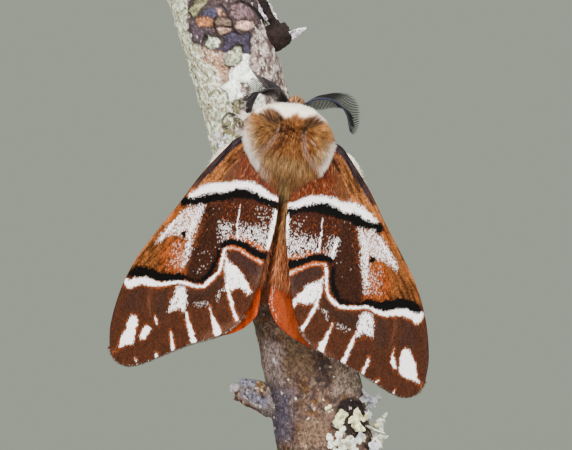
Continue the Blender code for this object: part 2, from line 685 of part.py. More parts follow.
def build_stand(base_material, rod_material):
    """The flat base and the rod up to the branch."""
    bm = bmesh.new()
    bmesh.ops.create_cube(bm, size=1.0)
    bmesh.ops.scale(bm, vec=BASE_SIZE, verts=bm.verts)
    bmesh.ops.translate(bm, vec=(0, 0, BASE_SIZE.z / 2), verts=bm.verts)
    upright = [e for e in bm.edges if abs(e.verts[0].co.z - e.verts[1].co.z) > 1]
    bmesh.ops.bevel(bm, geom=upright, offset=BASE_CORNER, segments=5, profile=0.5, affect="EDGES")
    top = [e for e in bm.edges if min(v.co.z for v in e.verts) > BASE_SIZE.z - 0.01]
    bmesh.ops.bevel(bm, geom=top, offset=BASE_EDGE, segments=2, profile=0.5, affect="EDGES")
    base = add_object("stand_base", bm, base_material, smooth_deg=30)
    foot = branch_axis(BRANCH_BOTTOM)
    low, high = BASE_SIZE.z + GAP, BRANCH_BOTTOM - GAP
    bm = bmesh.new()
    bmesh.ops.create_cone(bm, cap_ends=True, segments=24, radius1=ROD_RADIUS, radius2=ROD_RADIUS,
                          depth=high - low)
    bmesh.ops.translate(bm, vec=(foot.x, foot.y, (low + high) / 2), verts=bm.verts)
    rod = add_object("stand_rod", bm, rod_material, smooth_deg=30)
    return [base, rod]


def main():
    """Builds every node."""
    clear_scene()
    fur = make_material("thorax_fur", (0.36, 0.21, 0.10), 0.9)
    face = make_material("head_fur", (0.42, 0.22, 0.09), 0.9)
    belly = make_material("abdomen_fur", (0.40, 0.19, 0.07), 0.9)
    eye = make_material("eye_dark", (0.03, 0.02, 0.015), 0.15)
    feeler = make_material("antenna_dark", (0.07, 0.06, 0.055), 0.7)
    fore = make_material("forewing_scales", (0.22, 0.12, 0.06), 0.8)
    hind = make_material("hindwing_scales", (0.55, 0.24, 0.06), 0.8)
    leg = make_material("leg_fur", (0.16, 0.09, 0.05), 0.85)
    bark = make_material("bark", (0.33, 0.29, 0.24), 0.95)
    base = make_material("stand_base_lacquer", (0.05, 0.05, 0.05), 0.35)
    rod = make_material("stand_rod_metal", (0.65, 0.65, 0.66), 0.3, 1.0)
    branch = build_branch(bark)
    grip = surface_tree(branch)
    thorax, head, abdomen = build_thorax(fur), build_head(face), build_abdomen(belly)
    stand = build_stand(base, rod)
    legs = [build_leg(name, grip, leg) for name in LEGS]
    eyes = [eye_ball(f"eye_{side}", side, EYE_RADIUS, eye) for side in SIDES]
    wings = [build_forewing(side, fore) for side in SIDES] + [build_hindwing(side, hind) for side in SIDES]
    antennae = [build_antenna(side, feeler) for side in SIDES]
    around = [branch, *legs, *eyes, *wings, *antennae]
    grow_coat(thorax, THORAX_CENTRE, THORAX_RADII, THORAX_COAT, [*around, head, abdomen], 3, fur)
    grow_coat(head, HEAD_CENTRE, HEAD_RADII, HEAD_COAT, [*around, thorax], 4, face)
    grow_coat(abdomen, ABDOMEN_CENTRE, ABDOMEN_RADII, ABDOMEN_COAT, [*around, thorax], 5, belly)
    made = [branch, *stand, thorax, head, abdomen, *legs, *eyes, *wings, *antennae]
    home = make_collection("kentish_glory_moth")
    for obj in made:
        for old in list(obj.users_collection):
            old.objects.unlink(obj)
        home.objects.link(obj)


if __name__ == "__main__":
    main()
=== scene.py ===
"""Looks of a male Kentish glory moth at rest, head up, on a cut length of lichened birch branch.

The moth is drawn in its own frame, in millimetres: +X to its right, +Y towards its head and +Z out of its
back, with the origin where the inner edges of the forewings meet. Marks on a wing are drawn on its flat plan
as (tailward, outward) from the same point. World frame: metres, +Z up, the moth's back faces -Y.
"""

import logging
import math
from dataclasses import dataclass, field, replace
from enum import Enum
from typing import Any, Callable, Iterable, Sequence

import bmesh
import bpy
import numpy as np
from mathutils import Matrix, Vector, noise
from mathutils.bvhtree import BVHTree
from mathutils.kdtree import KDTree


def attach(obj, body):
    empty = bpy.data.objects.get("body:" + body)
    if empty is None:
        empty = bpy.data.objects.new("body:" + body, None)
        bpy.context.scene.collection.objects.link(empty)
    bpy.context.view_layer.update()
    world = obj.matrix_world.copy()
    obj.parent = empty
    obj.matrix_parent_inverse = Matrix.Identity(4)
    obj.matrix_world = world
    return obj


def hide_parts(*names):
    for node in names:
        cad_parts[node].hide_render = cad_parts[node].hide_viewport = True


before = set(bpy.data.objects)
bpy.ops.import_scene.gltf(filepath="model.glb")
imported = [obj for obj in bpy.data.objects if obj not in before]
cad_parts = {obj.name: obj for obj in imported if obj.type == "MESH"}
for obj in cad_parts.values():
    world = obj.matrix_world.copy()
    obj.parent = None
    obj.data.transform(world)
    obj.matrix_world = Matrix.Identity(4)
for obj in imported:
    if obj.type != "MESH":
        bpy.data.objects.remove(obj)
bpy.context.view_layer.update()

LOG = logging.getLogger("moth")
Array = np.ndarray
Point = tuple[float, ...]
Colour = tuple[float, float, float]

MM = 0.001
TINY = 1e-9
FAR = 99.0
JUNCTION = np.array((1.15, -8.5, 36.3))
LEAN = math.radians(7.5)
TURN = np.array((
    (math.cos(LEAN), math.sin(LEAN), 0.0),
    (0.0, 0.0, -1.0),
    (-math.sin(LEAN), math.cos(LEAN), 0.0),
))
ROOF = math.radians(33.0)
PIVOT = np.array((-6.0, 3.0))
THORAX = (np.array((0.0, 5.7, -3.1)), np.array((3.7, 4.1, 3.25)))
HEAD = (np.array((0.2, 9.6, -4.0)), np.array((1.35, 1.4, 1.3)))
ABDOMEN = (np.array((0.0, -2.9, -4.35)), np.array((1.75, 6.2, 1.7)))
EYE_RADIUS = 0.56
EYE_OFFSET = np.array((1.32, 0.1, -0.25))


class Side(Enum):
    """The moth's left and right, as the sign of its X axis."""

    LEFT = -1
    RIGHT = 1

    @property
    def label(self) -> str:
        """The side's name in lower case."""
        return self.name.lower()

    @property
    def spread(self) -> float:
        """How far the wings of this side are turned outwards, in radians."""
        return math.radians(2.4) * self.value

    @property
    def reach(self) -> float:
        """How long the wings of this side look, as a share of the plan's length."""
        return 1.0 + 0.02 * self.value


def srgb(red: int, green: int, blue: int) -> Colour:
    """Turns a colour in display numbers into linear light.

    Args:
        red, green, blue: The three parts, 0 to 255.

    Returns:
        The colour in linear light, 0 to 1.
    """
    parts = []
    for part in (red, green, blue):
        share = part / 255
        parts.append(share / 12.92 if share <= 0.04045 else ((share + 0.055) / 1.055) ** 2.4)
    return parts[0], parts[1], parts[2]


def to_world(points: Array) -> Array:
    """Turns points of the moth's frame in millimetres into world metres."""
    return (np.asarray(points) @ TURN.T + JUNCTION) * MM


def turn_to_world(vectors: Array) -> Array:
    """Turns directions of the moth's frame into world directions."""
    return np.asarray(vectors) @ TURN.T


def unit(vectors: Array) -> Array:
    """Scales each vector to a length of one."""
    length = np.linalg.norm(vectors, axis=-1, keepdims=True)
    return vectors / np.maximum(length, TINY)


def smooth(values: Array, low: float, high: float) -> Array:
    """A soft step from 0 at low to 1 at high."""
    share = np.clip((np.asarray(values) - low) / (high - low), 0.0, 1.0)
    return share * share * (3 - 2 * share)


def blend(base: Array, colour: Colour, amount: Array) -> Array:
    """Mixes one colour into many by an amount for each."""
    return base + (np.array(colour) - base) * np.asarray(amount)[:, None]


def filled(colour: Colour | Array, count: int) -> Array:
    """One colour, many times over."""
    return np.tile(np.array(colour), (count, 1))


def picked(draw: np.random.Generator, count: int, share: float) -> Array:
    """One for a random share of many hairs, and zero for the others."""
    return (draw.random(count) < share).astype(float)


def spaced(values: Sequence[float]) -> list[Point]:
    """A table of some values at equal steps from 0 to 1."""
    return [(index / (len(values) - 1), value) for index, value in enumerate(values)]


def table(values: Array, pairs: Sequence[Point]) -> Array:
    """Reads values off a short table of (place, value) pairs, straight between them."""
    places, heights = zip(*sorted(pairs))
    return np.interp(values, places, heights)


class Curve:
    """A smooth line through a few points, read by its length."""

    def __init__(self, points: Sequence[Point], samples: int = 160) -> None:
        """Lays the line.

        Args:
            points: The points that it passes through, each with any number of values.
            samples: How many straight steps stand for it.
        """
        given = np.array(points, float)
        padded = np.vstack((2 * given[0] - given[1], given, 2 * given[-1] - given[-2]))
        steps = len(given) - 1
        shares = np.linspace(0, 1, samples + 1) * steps
        index = np.minimum(shares.astype(int), steps - 1)
        f = (shares - index)[:, None]
        p0, p1, p2, p3 = (padded[index + i] for i in range(4))
        self.line = 0.5 * (2 * p1 + (p2 - p0) * f + (2 * p0 - 5 * p1 + 4 * p2 - p3) * f**2
                           + (3 * p1 - p0 - 3 * p2 + p3) * f**3)
        lengths = np.linalg.norm(np.diff(self.line, axis=0), axis=1)
        self.lengths = np.concatenate(([0.0], np.cumsum(lengths)))

    def at(self, shares: Array) -> Array:
        """The points at some shares of its length, in one more dimension than the shares."""
        wanted = np.clip(shares, 0, 1) * self.lengths[-1]
        return np.stack([np.interp(wanted, self.lengths, column) for column in self.line.T], axis=-1)


def from_line(plan: Array, start: Array, step: Array) -> tuple[Array, Array]:
    """How far along a straight step each place of the plan lies, from 0 to 1, and how far from it."""
    share = np.clip((plan - start) @ step / max(step @ step, TINY), 0, 1)
    return share, np.linalg.norm(plan - start - share[:, None] * step, axis=1)


@dataclass(frozen=True)
class Mark:
    """A mark of scales on a plan, with the width of its soft edge and the share of scales that take part."""

    points: tuple[Point, ...]
    fade: float = 0.2
    strength: float = 1.0

    def level(self, plan: Array) -> Array:
        """How far inside its edge each place of the plan lies, negative outside."""
        raise NotImplementedError

    def density(self, plan: Array) -> Array:
        """The share of scales that take the mark's colour at each place."""
        return self.strength * np.clip(0.5 + self.level(plan) / self.fade, 0, 1)

    def rim(self, plan: Array, outside: float, width: float) -> Array:
        """A soft line along the mark's edge, or a little outside it."""
        return np.exp(-(((self.level(plan) + outside) / width) ** 2))

    def moved(self, tailward: float, outward: float) -> "Mark":
        """The same mark a little further on."""
        return replace(self, points=tuple((p[0] + tailward, p[1] + outward, *p[2:]) for p in self.points))


@dataclass(frozen=True)
class Stroke(Mark):
    """A line of scales, as (tailward, outward, half width) at each point."""

    def level(self, plan: Array) -> Array:
        """How far inside its edge each place of the plan lies, negative outside."""
        line = Curve(self.points, 5 * len(self.points)).line
        best = np.full(len(plan), -FAR)
        for start, end in zip(line[:-1], line[1:]):
            share, away = from_line(plan, start[:2], end[:2] - start[:2])
            best = np.maximum(best, start[2] + (end[2] - start[2]) * share - away)
        return best


@dataclass(frozen=True)
class Patch(Mark):
    """A closed patch of scales, as its outline."""

    def level(self, plan: Array) -> Array:
        """How far inside its edge each place of the plan lies, negative outside."""
        corners = np.array(self.points)
        inside = np.zeros(len(plan), bool)
        away = np.full(len(plan), FAR)
        for start, end in zip(corners, np.roll(corners, -1, axis=0)):
            step = end - start
            away = np.minimum(away, from_line(plan, start, step)[1])
            crosses = (start[1] > plan[:, 1]) != (end[1] > plan[:, 1])
            with np.errstate(divide="ignore", invalid="ignore"):
                at = start[0] + (plan[:, 1] - start[1]) * step[0] / step[1]
            inside ^= crosses & (plan[:, 0] < at)
        return np.where(inside, away, -away)


def densest(marks: Iterable[Mark], plan: Array) -> Array:
    """The greatest density of several marks at each place."""
    found = np.zeros(len(plan))
    for mark in marks:
        found = np.maximum(found, mark.density(plan))
    return found


def waver(points: Array, size: float, amount: float, seed: float) -> Array:
    """A smooth random value for each point.

    Args:
        points: The points, with two or three values each.
        size: The size of one wave.
        amount: The greatest value, above or below zero.
        seed: Which of many patterns.

    Returns:
        One value for each point.
    """
    if points.shape[1] == 2:
        points = np.column_stack((points, np.full(len(points), seed)))
    offset = Vector((seed, seed * 2.3, seed * 0.7))
    return np.array([noise.noise(Vector(p) / size + offset) for p in points]) * amount


class Graph:
    """Lays nodes in a tree and joins them."""

    def __init__(self, tree: bpy.types.NodeTree) -> None:
        """Starts on a tree."""
        self.tree = tree

    def add(self, kind: str, inputs: dict[Any, Any] | None = None, **settings: Any) -> bpy.types.Node:
        """Adds a node.

        Args:
            kind: The node's type name without its ShaderNode prefix.
            inputs: A value or a socket for each named or numbered input.
            settings: Properties of the node.

        Returns:
            The node.
        """
        node = self.tree.nodes.new("ShaderNode" + kind)
        for key, value in settings.items():
            setattr(node, key, value)
        for key, value in (inputs or {}).items():
            if isinstance(value, bpy.types.NodeSocket):
                self.tree.links.new(value, node.inputs[key])
            else:
                node.inputs[key].default_value = value
        return node

    def math(self, operation: str, first: Any, second: Any, clamp: bool = False) -> bpy.types.NodeSocket:
        """A sum on two values."""
        return self.add("Math", {0: first, 1: second}, operation=operation, use_clamp=clamp).outputs[0]

    def slope(self, start: float, value: Any, factor: float, clamp: bool = False) -> bpy.types.NodeSocket:
        """A start and a factor times a value."""
        return self.math("ADD", start, self.math("MULTIPLY", value, factor), clamp)

    def mix(self, factor: Any, first: Any, second: Any, mode: str = "MIX") -> bpy.types.NodeSocket:
        """Two colours mixed."""
        inputs = {0: factor, 6: opaque(first), 7: opaque(second)}
        return self.add("Mix", inputs, data_type="RGBA", blend_type=mode).outputs[2]

    def tinted(self, colour: Any, light: Any) -> bpy.types.NodeSocket:
        """A colour made lighter or darker by a factor."""
        grey = self.add("CombineColor", {0: light, 1: light, 2: light}).outputs[0]
        return self.mix(1.0, colour, grey, "MULTIPLY")

    def attribute(self, name: str, output: str) -> bpy.types.NodeSocket:
        """A value, colour or vector kept on the mesh."""
        return self.add("Attribute", attribute_name=name).outputs[output]

    def place(self) -> bpy.types.NodeSocket:
        """The place of each point on its object."""
        return self.add("TexCoord").outputs["Object"]

    def stretch(self, vector: bpy.types.NodeSocket, scale: Point) -> bpy.types.NodeSocket:
        """A vector scaled along its axes."""
        return self.add("Mapping", {0: vector, 3: scale}).outputs[0]

    def grain(self, vector: bpy.types.NodeSocket, scale: Point, detail: float) -> bpy.types.NodeSocket:
        """Noise drawn out along the axes."""
        inputs = {"Vector": self.stretch(vector, scale), "Scale": 1.0, "Detail": detail}
        return self.add("TexNoise", inputs).outputs[0]

    def ramp(self, value: Any, stops: Sequence[tuple[float, Colour]]) -> bpy.types.NodeSocket:
        """A colour for each value, by a few stops."""
        node = self.add("ValToRGB", {0: value})
        marks = node.color_ramp.elements
        while len(marks) < len(stops):
            marks.new(1.0)
        for mark, (place, colour) in zip(marks, stops):
            mark.position = place
            mark.color = (*colour, 1.0)
        return node.outputs[0]

    def group(self, tree: bpy.types.NodeTree, inputs: dict[str, Any]) -> bpy.types.Node:
        """Places a shared group with its own values."""
        return self.add("Group", {key: opaque(value) for key, value in inputs.items()}, node_tree=tree)


def opaque(value: Any) -> Any:
    """A colour of three numbers with a fourth of one, anything else unchanged."""
    return (*value, 1.0) if isinstance(value, tuple) and len(value) == 3 else value


def new_group(name: str, inputs: dict[str, Any],
              outputs: dict[str, str]) -> tuple[bpy.types.NodeTree, Any, Graph]:
    """Starts a shared shader group.

    Args:
        name: The group's name.
        inputs: A default for each input: a number, a colour, or None for a vector.
        outputs: The kind of each output: Float, Color or Vector.

    Returns:
        The tree, its input sockets by name, and a graph to lay nodes with.
    """
    tree = bpy.data.node_groups.new(name, "ShaderNodeTree")
    for key, value in inputs.items():
        kind = "Vector" if value is None else "Color" if isinstance(value, tuple) else "Float"
        socket = tree.interface.new_socket(key, in_out="INPUT", socket_type="NodeSocket" + kind)
        if value is not None:
            socket.default_value = opaque(value)
    for key, kind in outputs.items():
        tree.interface.new_socket(key, in_out="OUTPUT", socket_type="NodeSocket" + kind)
    source = tree.nodes.new("NodeGroupInput")
    return tree, source.outputs, Graph(tree)


def close_group(tree: bpy.types.NodeTree, values: dict[str, bpy.types.NodeSocket]) -> bpy.types.NodeTree:
    """Joins a group's results to its outputs."""
    end = tree.nodes.new("NodeGroupOutput")
    for key, value in values.items():
        tree.links.new(value, end.inputs[key])
    return tree


GREY = (0.5, 0.5, 0.5)


def scale_rows_group() -> bpy.types.NodeTree:
    """Overlapping rows of small scales: three random numbers for each scale, and its raised shape."""
    tree, given, graph = new_group("scale_rows", {"Vector": None, "Size": 1.0},
                                   {"Random": "Color", "Relief": "Float"})
    cells = graph.add("TexVoronoi", {"Vector": given["Vector"], "Scale": given["Size"]}, feature="F1",
                      voronoi_dimensions="2D")
    relief = graph.math("SUBTRACT", 1.0, cells.outputs["Distance"], clamp=True)
    return close_group(tree, {"Random": cells.outputs["Color"], "Relief": relief})


def sprinkle_group() -> bpy.types.NodeTree:
    """Scales of another colour, thrown over a ground by their density."""
    tree, given, graph = new_group("sprinkle", {"Ground": GREY, "Scales": GREY, "Density": 0.0,
                                                "Random": 0.0}, {"Color": "Color"})
    chosen = graph.math("LESS_THAN", given["Random"], given["Density"])
    return close_group(tree, {"Color": graph.mix(chosen, given["Ground"], given["Scales"])})


def mottle_group() -> bpy.types.NodeTree:
    """A colour made lighter and darker by fine noise."""
    tree, given, graph = new_group("mottle", {"Color": GREY, "Vector": None, "Scale": 1.0, "Amount": 0.3},
                                   {"Color": "Color", "Value": "Float"})
    cloud = graph.add("TexNoise", {"Vector": given["Vector"], "Scale": given["Scale"], "Detail": 4.0,
                                   "Roughness": 0.6})
    swing = graph.math("MULTIPLY", graph.math("SUBTRACT", cloud.outputs[0], 0.5), given["Amount"])
    light = graph.slope(1.0, swing, 2.0)
    return close_group(tree, {"Color": graph.tinted(given["Color"], light), "Value": cloud.outputs[0]})


@dataclass
class Effects:
    """The shader groups that several finishes share."""

    scale_rows: bpy.types.NodeTree = field(default_factory=scale_rows_group)
    sprinkle: bpy.types.NodeTree = field(default_factory=sprinkle_group)
    mottle: bpy.types.NodeTree = field(default_factory=mottle_group)

    def mottled(self, graph: Graph, colour: Any, place: Any, scale: float, amount: float) -> Any:
        """Mottles a colour in a material; the sockets that it returns are Color and Value."""
        return graph.group(self.mottle, {"Color": colour, "Vector": place, "Scale": scale,
                                         "Amount": amount}).outputs

    def sprinkled(self, graph: Graph, ground: Any, scales: Any, density: Any,
                  chance: Any) -> bpy.types.NodeSocket:
        """A ground with scales or flecks of another colour thrown over it."""
        return graph.group(self.sprinkle, {"Ground": ground, "Scales": scales, "Density": density,
                                           "Random": chance}).outputs[0]


def start_material(name: str, constants: dict[str, Any]) -> tuple[bpy.types.Material, Graph, bpy.types.Node]:
    """A Principled material to be wired up.

    Args:
        name: The material's name.
        constants: Values for the shader's own sockets.

    Returns:
        The material, a graph on its tree, and its shader.
    """
    made = bpy.data.materials.new(name)
    made.use_nodes = True
    shader = made.node_tree.nodes["Principled BSDF"]
    for key, value in constants.items():
        shader.inputs[key].default_value = opaque(value)
    return made, Graph(made.node_tree), shader


def join(graph: Graph, shader: bpy.types.Node, colour: Any, roughness: Any, height: Any, strength: float,
         distance: float) -> None:
    """Wires a colour, a roughness and a bump height to a material's shader.

    Args:
        graph: The graph of the material.
        shader: Its Principled shader.
        colour: The socket of the base colour.
        roughness: The socket or value of the roughness.
        height: The socket of the bump height.
        strength: The bump's strength.
        distance: The bump's height in metres.
    """
    links = graph.tree.links
    links.new(colour, shader.inputs["Base Color"])
    if isinstance(roughness, bpy.types.NodeSocket):
        links.new(roughness, shader.inputs["Roughness"])
    else:
        shader.inputs["Roughness"].default_value = roughness
    bump = graph.add("Bump", {"Height": height, "Strength": strength, "Distance": distance})
    links.new(bump.outputs[0], shader.inputs["Normal"])


@dataclass(frozen=True)
class WingFinish:
    """Wing membrane under rows of scales, in the colours that its painted densities ask for."""

    name: str
    white: Colour = srgb(250, 242, 242)
    black: Colour = srgb(3, 2, 2)
    orange: Colour = srgb(152, 70, 22)
    marks: float = 1.0
    scale_length: float = 0.12
    scale_width: float = 0.078

    def material(self, effects: Effects) -> bpy.types.Material:
        """Builds the material."""
        made, graph, shader = start_material(self.name, {"Specular IOR Level": 0.06})
        plan = graph.attribute("wing_plan", "Vector")
        rows = graph.group(effects.scale_rows, {
            "Vector": graph.stretch(plan, (1 / self.scale_length, 1 / self.scale_width, 1.0)), "Size": 1.0})
        dots = graph.add("SeparateColor", {0: rows.outputs["Random"]}).outputs
        ground = graph.attribute("ground", "Color")
        streaks = graph.grain(plan, (0.7, 5.0, 1.0), 3.0)
        shade = graph.math("ADD", graph.slope(dots[2], streaks, 0.9), 0.05)
        colour = graph.tinted(ground, shade)
        for name, scales, random in (("orange", self.orange, dots[2]), ("black", self.black, dots[1]),
                                     ("white", self.white, dots[0])):
            density = graph.math("MULTIPLY", graph.attribute(name, "Fac"), self.marks)
            cover = graph.slope(0.24, density, 0.8, clamp=True)
            colour = effects.sprinkled(graph, colour, graph.mix(cover, ground, scales), density, random)
        colour = graph.tinted(colour, graph.slope(0.84, dots[1], 0.22))
        rough = graph.slope(0.55, dots[0], 0.25)
        join(graph, shader, colour, rough, rows.outputs["Relief"], strength=0.35, distance=0.00004)
        return made


@dataclass(frozen=True)
class CoatFinish:
    """Soft hair, or the skin under it, in the colours painted on the mesh."""

    name: str
    roughness: float = 0.6
    sheen: float = 0.05
    size: float = 2500.0
    amount: float = 0.3

    def material(self, effects: Effects) -> bpy.types.Material:
        """Builds the material."""
        made, graph, shader = start_material(self.name, {"Sheen Weight": self.sheen, "Sheen Roughness": 0.5,
                                                         "Specular IOR Level": 0.15})
        cloud = effects.mottled(graph, graph.attribute("coat", "Color"), graph.place(), self.size,
                                self.amount)
        join(graph, shader, cloud["Color"], self.roughness, cloud["Value"], strength=0.3, distance=0.00003)
        return made


@dataclass(frozen=True)
class EyeFinish:
    """A compound eye: dark, wet looking, of many small facets."""

    name: str = "compound_eye"

    def material(self, effects: Effects) -> bpy.types.Material:
        """Builds the material."""
        made, graph, shader = start_material(self.name, {"Coat Weight": 0.6, "Coat Roughness": 0.08})
        place = graph.place()
        facets = graph.add("TexVoronoi", {"Vector": place, "Scale": 16000.0}, feature="F1")
        cloud = effects.mottled(graph, srgb(38, 24, 18), place, 2200.0, 0.7)
        height = graph.math("SUBTRACT", 1.0, facets.outputs["Distance"])
        join(graph, shader, cloud["Color"], 0.22, height, strength=0.5, distance=0.00002)
        return made


@dataclass(frozen=True)
class BarkFinish:
    """Bark, crust lichen and broken wood in the colours painted on the mesh, with dark and pale flecks."""

    name: str = "lichened_bark"
    size: float = 1500.0
    amount: float = 0.4
    dark: Colour = srgb(40, 30, 28)
    pale: Colour = srgb(222, 208, 196)

    def material(self, effects: Effects) -> bpy.types.Material:
        """Builds the material."""
        made, graph, shader = start_material(self.name, {"Specular IOR Level": 0.15})
        place = graph.place()
        bent = graph.add("TexNoise", {"Vector": place, "Scale": self.size * 3.0, "Detail": 2.0}).outputs[1]
        shift = graph.add("VectorMath", {0: bent, "Scale": 0.0004}, operation="SCALE").outputs[0]
        crooked = graph.add("VectorMath", {0: place, 1: shift}, operation="ADD").outputs[0]
        cells = graph.add("TexVoronoi", {"Vector": graph.stretch(crooked, (1.0, 1.0, 0.8)),
                                         "Scale": self.size * 3.2}, feature="F1").outputs["Color"]
        flecks = graph.add("SeparateColor", {0: cells}).outputs
        coarse = effects.mottled(graph, graph.attribute("coat", "Color"), place, self.size * 0.6,
                                 self.amount)
        colour = graph.tinted(coarse["Color"], graph.slope(0.62, flecks[2], 0.76))
        for name, tint, chance in (("pale", self.pale, flecks[0]), ("dark", self.dark, flecks[1])):
            thrown = effects.sprinkled(graph, colour, tint, graph.attribute(name, "Fac"), chance)
            colour = graph.mix(0.6, colour, thrown)
        fine = effects.mottled(graph, colour, place, self.size * 3.4, self.amount)
        height = graph.math("ADD", coarse["Value"], fine["Value"])
        join(graph, shader, fine["Color"], 0.88, height, strength=0.8, distance=0.00012)
        return made


@dataclass(frozen=True)
class LacquerFinish:
    """Black lacquered wood with a faint grain, dulled a little by dust."""

    name: str = "black_lacquer"

    def material(self, effects: Effects) -> bpy.types.Material:
        """Builds the material."""
        made, graph, shader = start_material(self.name, {"Coat Weight": 0.5, "Coat Roughness": 0.15})
        place = graph.place()
        grain = graph.grain(place, (60.0, 1400.0, 900.0), 5.0)
        dust = effects.mottled(graph, GREY, place, 900.0, 0.5)["Value"]
        colour = graph.ramp(grain, ((0.3, srgb(24, 20, 18)), (0.7, srgb(44, 36, 31))))
        rough = graph.slope(0.22, dust, 0.25)
        join(graph, shader, colour, rough, grain, strength=0.25, distance=0.00008)
        return made


@dataclass(frozen=True)
class SteelFinish:
    """Brushed steel."""

    name: str = "brushed_steel"

    def material(self, effects: Effects) -> bpy.types.Material:
        """Builds the material."""
        made, graph, shader = start_material(self.name, {"Metallic": 1.0})
        brush = graph.grain(graph.place(), (600.0, 600.0, 26000.0), 3.0)
        colour = graph.ramp(brush, ((0.3, srgb(150, 150, 152)), (0.7, srgb(205, 205, 207))))
        rough = graph.slope(0.2, brush, 0.25)
        join(graph, shader, colour, rough, brush, strength=0.2, distance=0.00002)
        return made


@dataclass(frozen=True)
class PaperFinish:
    """The plain pale floor."""

    name: str = "pale_floor"
    colour: Colour = srgb(196, 198, 188)

    def material(self, effects: Effects) -> bpy.types.Material:
        """Builds the material."""
        made, graph, shader = start_material(self.name, {"Specular IOR Level": 0.2})
        cloud = effects.mottled(graph, self.colour, graph.place(), 300.0, 0.04)
        join(graph, shader, cloud["Color"], 0.9, cloud["Value"], strength=0.1, distance=0.00005)
        return made


def paint(mesh: bpy.types.Mesh, name: str, values: Array) -> None:
    """Keeps a value, a vector or a colour at each point of a mesh.

    Args:
        mesh: The mesh.
        name: The attribute's name; a name that starts with wing_ is a vector, other triples are colours.
        values: One number, or three, for each point.
    """
    if values.ndim == 1:
        layer = mesh.attributes.new(name, "FLOAT", "POINT")
        layer.data.foreach_set("value", values.astype(np.float32))
    elif name.startswith("wing_"):
        layer = mesh.attributes.new(name, "FLOAT_VECTOR", "POINT")
        layer.data.foreach_set("vector", values.astype(np.float32).ravel())
    else:
        layer = mesh.color_attributes.new(name, "FLOAT_COLOR", "POINT")
        rgba = np.column_stack((np.clip(values, 0, 1), np.ones(len(values))))
        layer.data.foreach_set("color", rgba.astype(np.float32).ravel())


def points_of(mesh: bpy.types.Mesh) -> Array:
    """A mesh's points."""
    found = np.zeros(len(mesh.vertices) * 3, np.float32)
    mesh.vertices.foreach_get("co", found)
    return found.reshape(-1, 3).astype(float)


def move_points(mesh: bpy.types.Mesh, points: Array) -> None:
    """Gives a mesh new points."""
    mesh.vertices.foreach_set("co", points.astype(np.float32).ravel())
    mesh.update()


def normals_of(mesh: bpy.types.Mesh) -> Array:
    """A mesh's point normals."""
    found = np.zeros(len(mesh.vertices) * 3, np.float32)
    mesh.vertex_normals.foreach_get("vector", found)
    return found.reshape(-1, 3).astype(float)


def final_mesh(obj: bpy.types.Object) -> bpy.types.Mesh:
    """What an object's modifiers or curve settings make of it, with the object removed."""
    bpy.context.view_layer.update()
    graph = bpy.context.evaluated_depsgraph_get()
    made = bpy.data.meshes.new_from_object(obj.evaluated_get(graph))
    data = obj.data
    bpy.data.objects.remove(obj, do_unlink=True)
    (bpy.data.curves if isinstance(data, bpy.types.Curve) else bpy.data.meshes).remove(data)
    return made


def mesh_from(bm: bmesh.types.BMesh, name: str) -> bpy.types.Mesh:
    """Makes a mesh of an edit mesh, which is freed."""
    mesh = bpy.data.meshes.new(name)
    bm.to_mesh(mesh)
    bm.free()
    return mesh


def face_outwards(mesh: bpy.types.Mesh, merge: float = 0.0) -> None:
    """Turns a mesh's faces outwards, once points closer than a distance in metres are merged."""
    bm = bmesh.new()
    bm.from_mesh(mesh)
    if merge:
        bmesh.ops.remove_doubles(bm, verts=bm.verts, dist=merge)
    bmesh.ops.recalc_face_normals(bm, faces=bm.faces)
    bm.to_mesh(mesh)
    bm.free()


def link(name: str, data: Any) -> bpy.types.Object:
    """Links data to the scene as an object at the origin."""
    made = bpy.data.objects.new(name, data)
    bpy.context.scene.collection.objects.link(made)
    return made


def add_piece(name: str, mesh: bpy.types.Mesh, materials: Sequence[bpy.types.Material], slot: str,
              *nodes: str) -> bpy.types.Object:
    """Links a finished mesh as a piece of the object and reports it.

    Args:
        name: The piece's name.
        mesh: Its mesh, in world metres.
        materials: Its materials in slot order.
        slot: The name of a material slot; not used.
        nodes: The solids that it stands for.

    Returns:
        The piece.
    """
    mesh.materials.clear()
    for material in materials:
        mesh.materials.append(material)
    made = link(name, mesh)
    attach(made, "root")
    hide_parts(*nodes)
    mesh.calc_loop_triangles()
    LOG.info("%s: %d triangles", name, len(mesh.loop_triangles))
    return made


def tube(name: str, points: Array, radii: Sequence[float], roundness: int) -> bpy.types.Mesh:
    """A closed tube through points in world metres.

    Args:
        name: The mesh's name.
        points: The points of its middle line.
        radii: Its radius at each, in millimetres.
        roundness: How finely it is rounded.

    Returns:
        The mesh.
    """
    curve = bpy.data.curves.new(name, "CURVE")
    curve.dimensions = "3D"
    curve.render_resolution_u = 0
    curve.bevel_depth = MM
    curve.bevel_resolution = roundness
    curve.use_fill_caps = True
    line = curve.splines.new("POLY")
    line.points.add(len(points) - 1)
    for place, point, radius in zip(line.points, points, radii):
        place.co = (*point, 1.0)
        place.radius = radius
    mesh = final_mesh(link(name, curve))
    face_outwards(mesh, 0.000001)
    mesh.shade_smooth()
    return mesh


def weld(meshes: Sequence[bpy.types.Mesh], name: str) -> bpy.types.Mesh:
    """Puts several meshes into one, each kept closed."""
    bm = bmesh.new()
    for mesh in meshes:
        bm.from_mesh(mesh)
        bpy.data.meshes.remove(mesh)
    return mesh_from(bm, name)


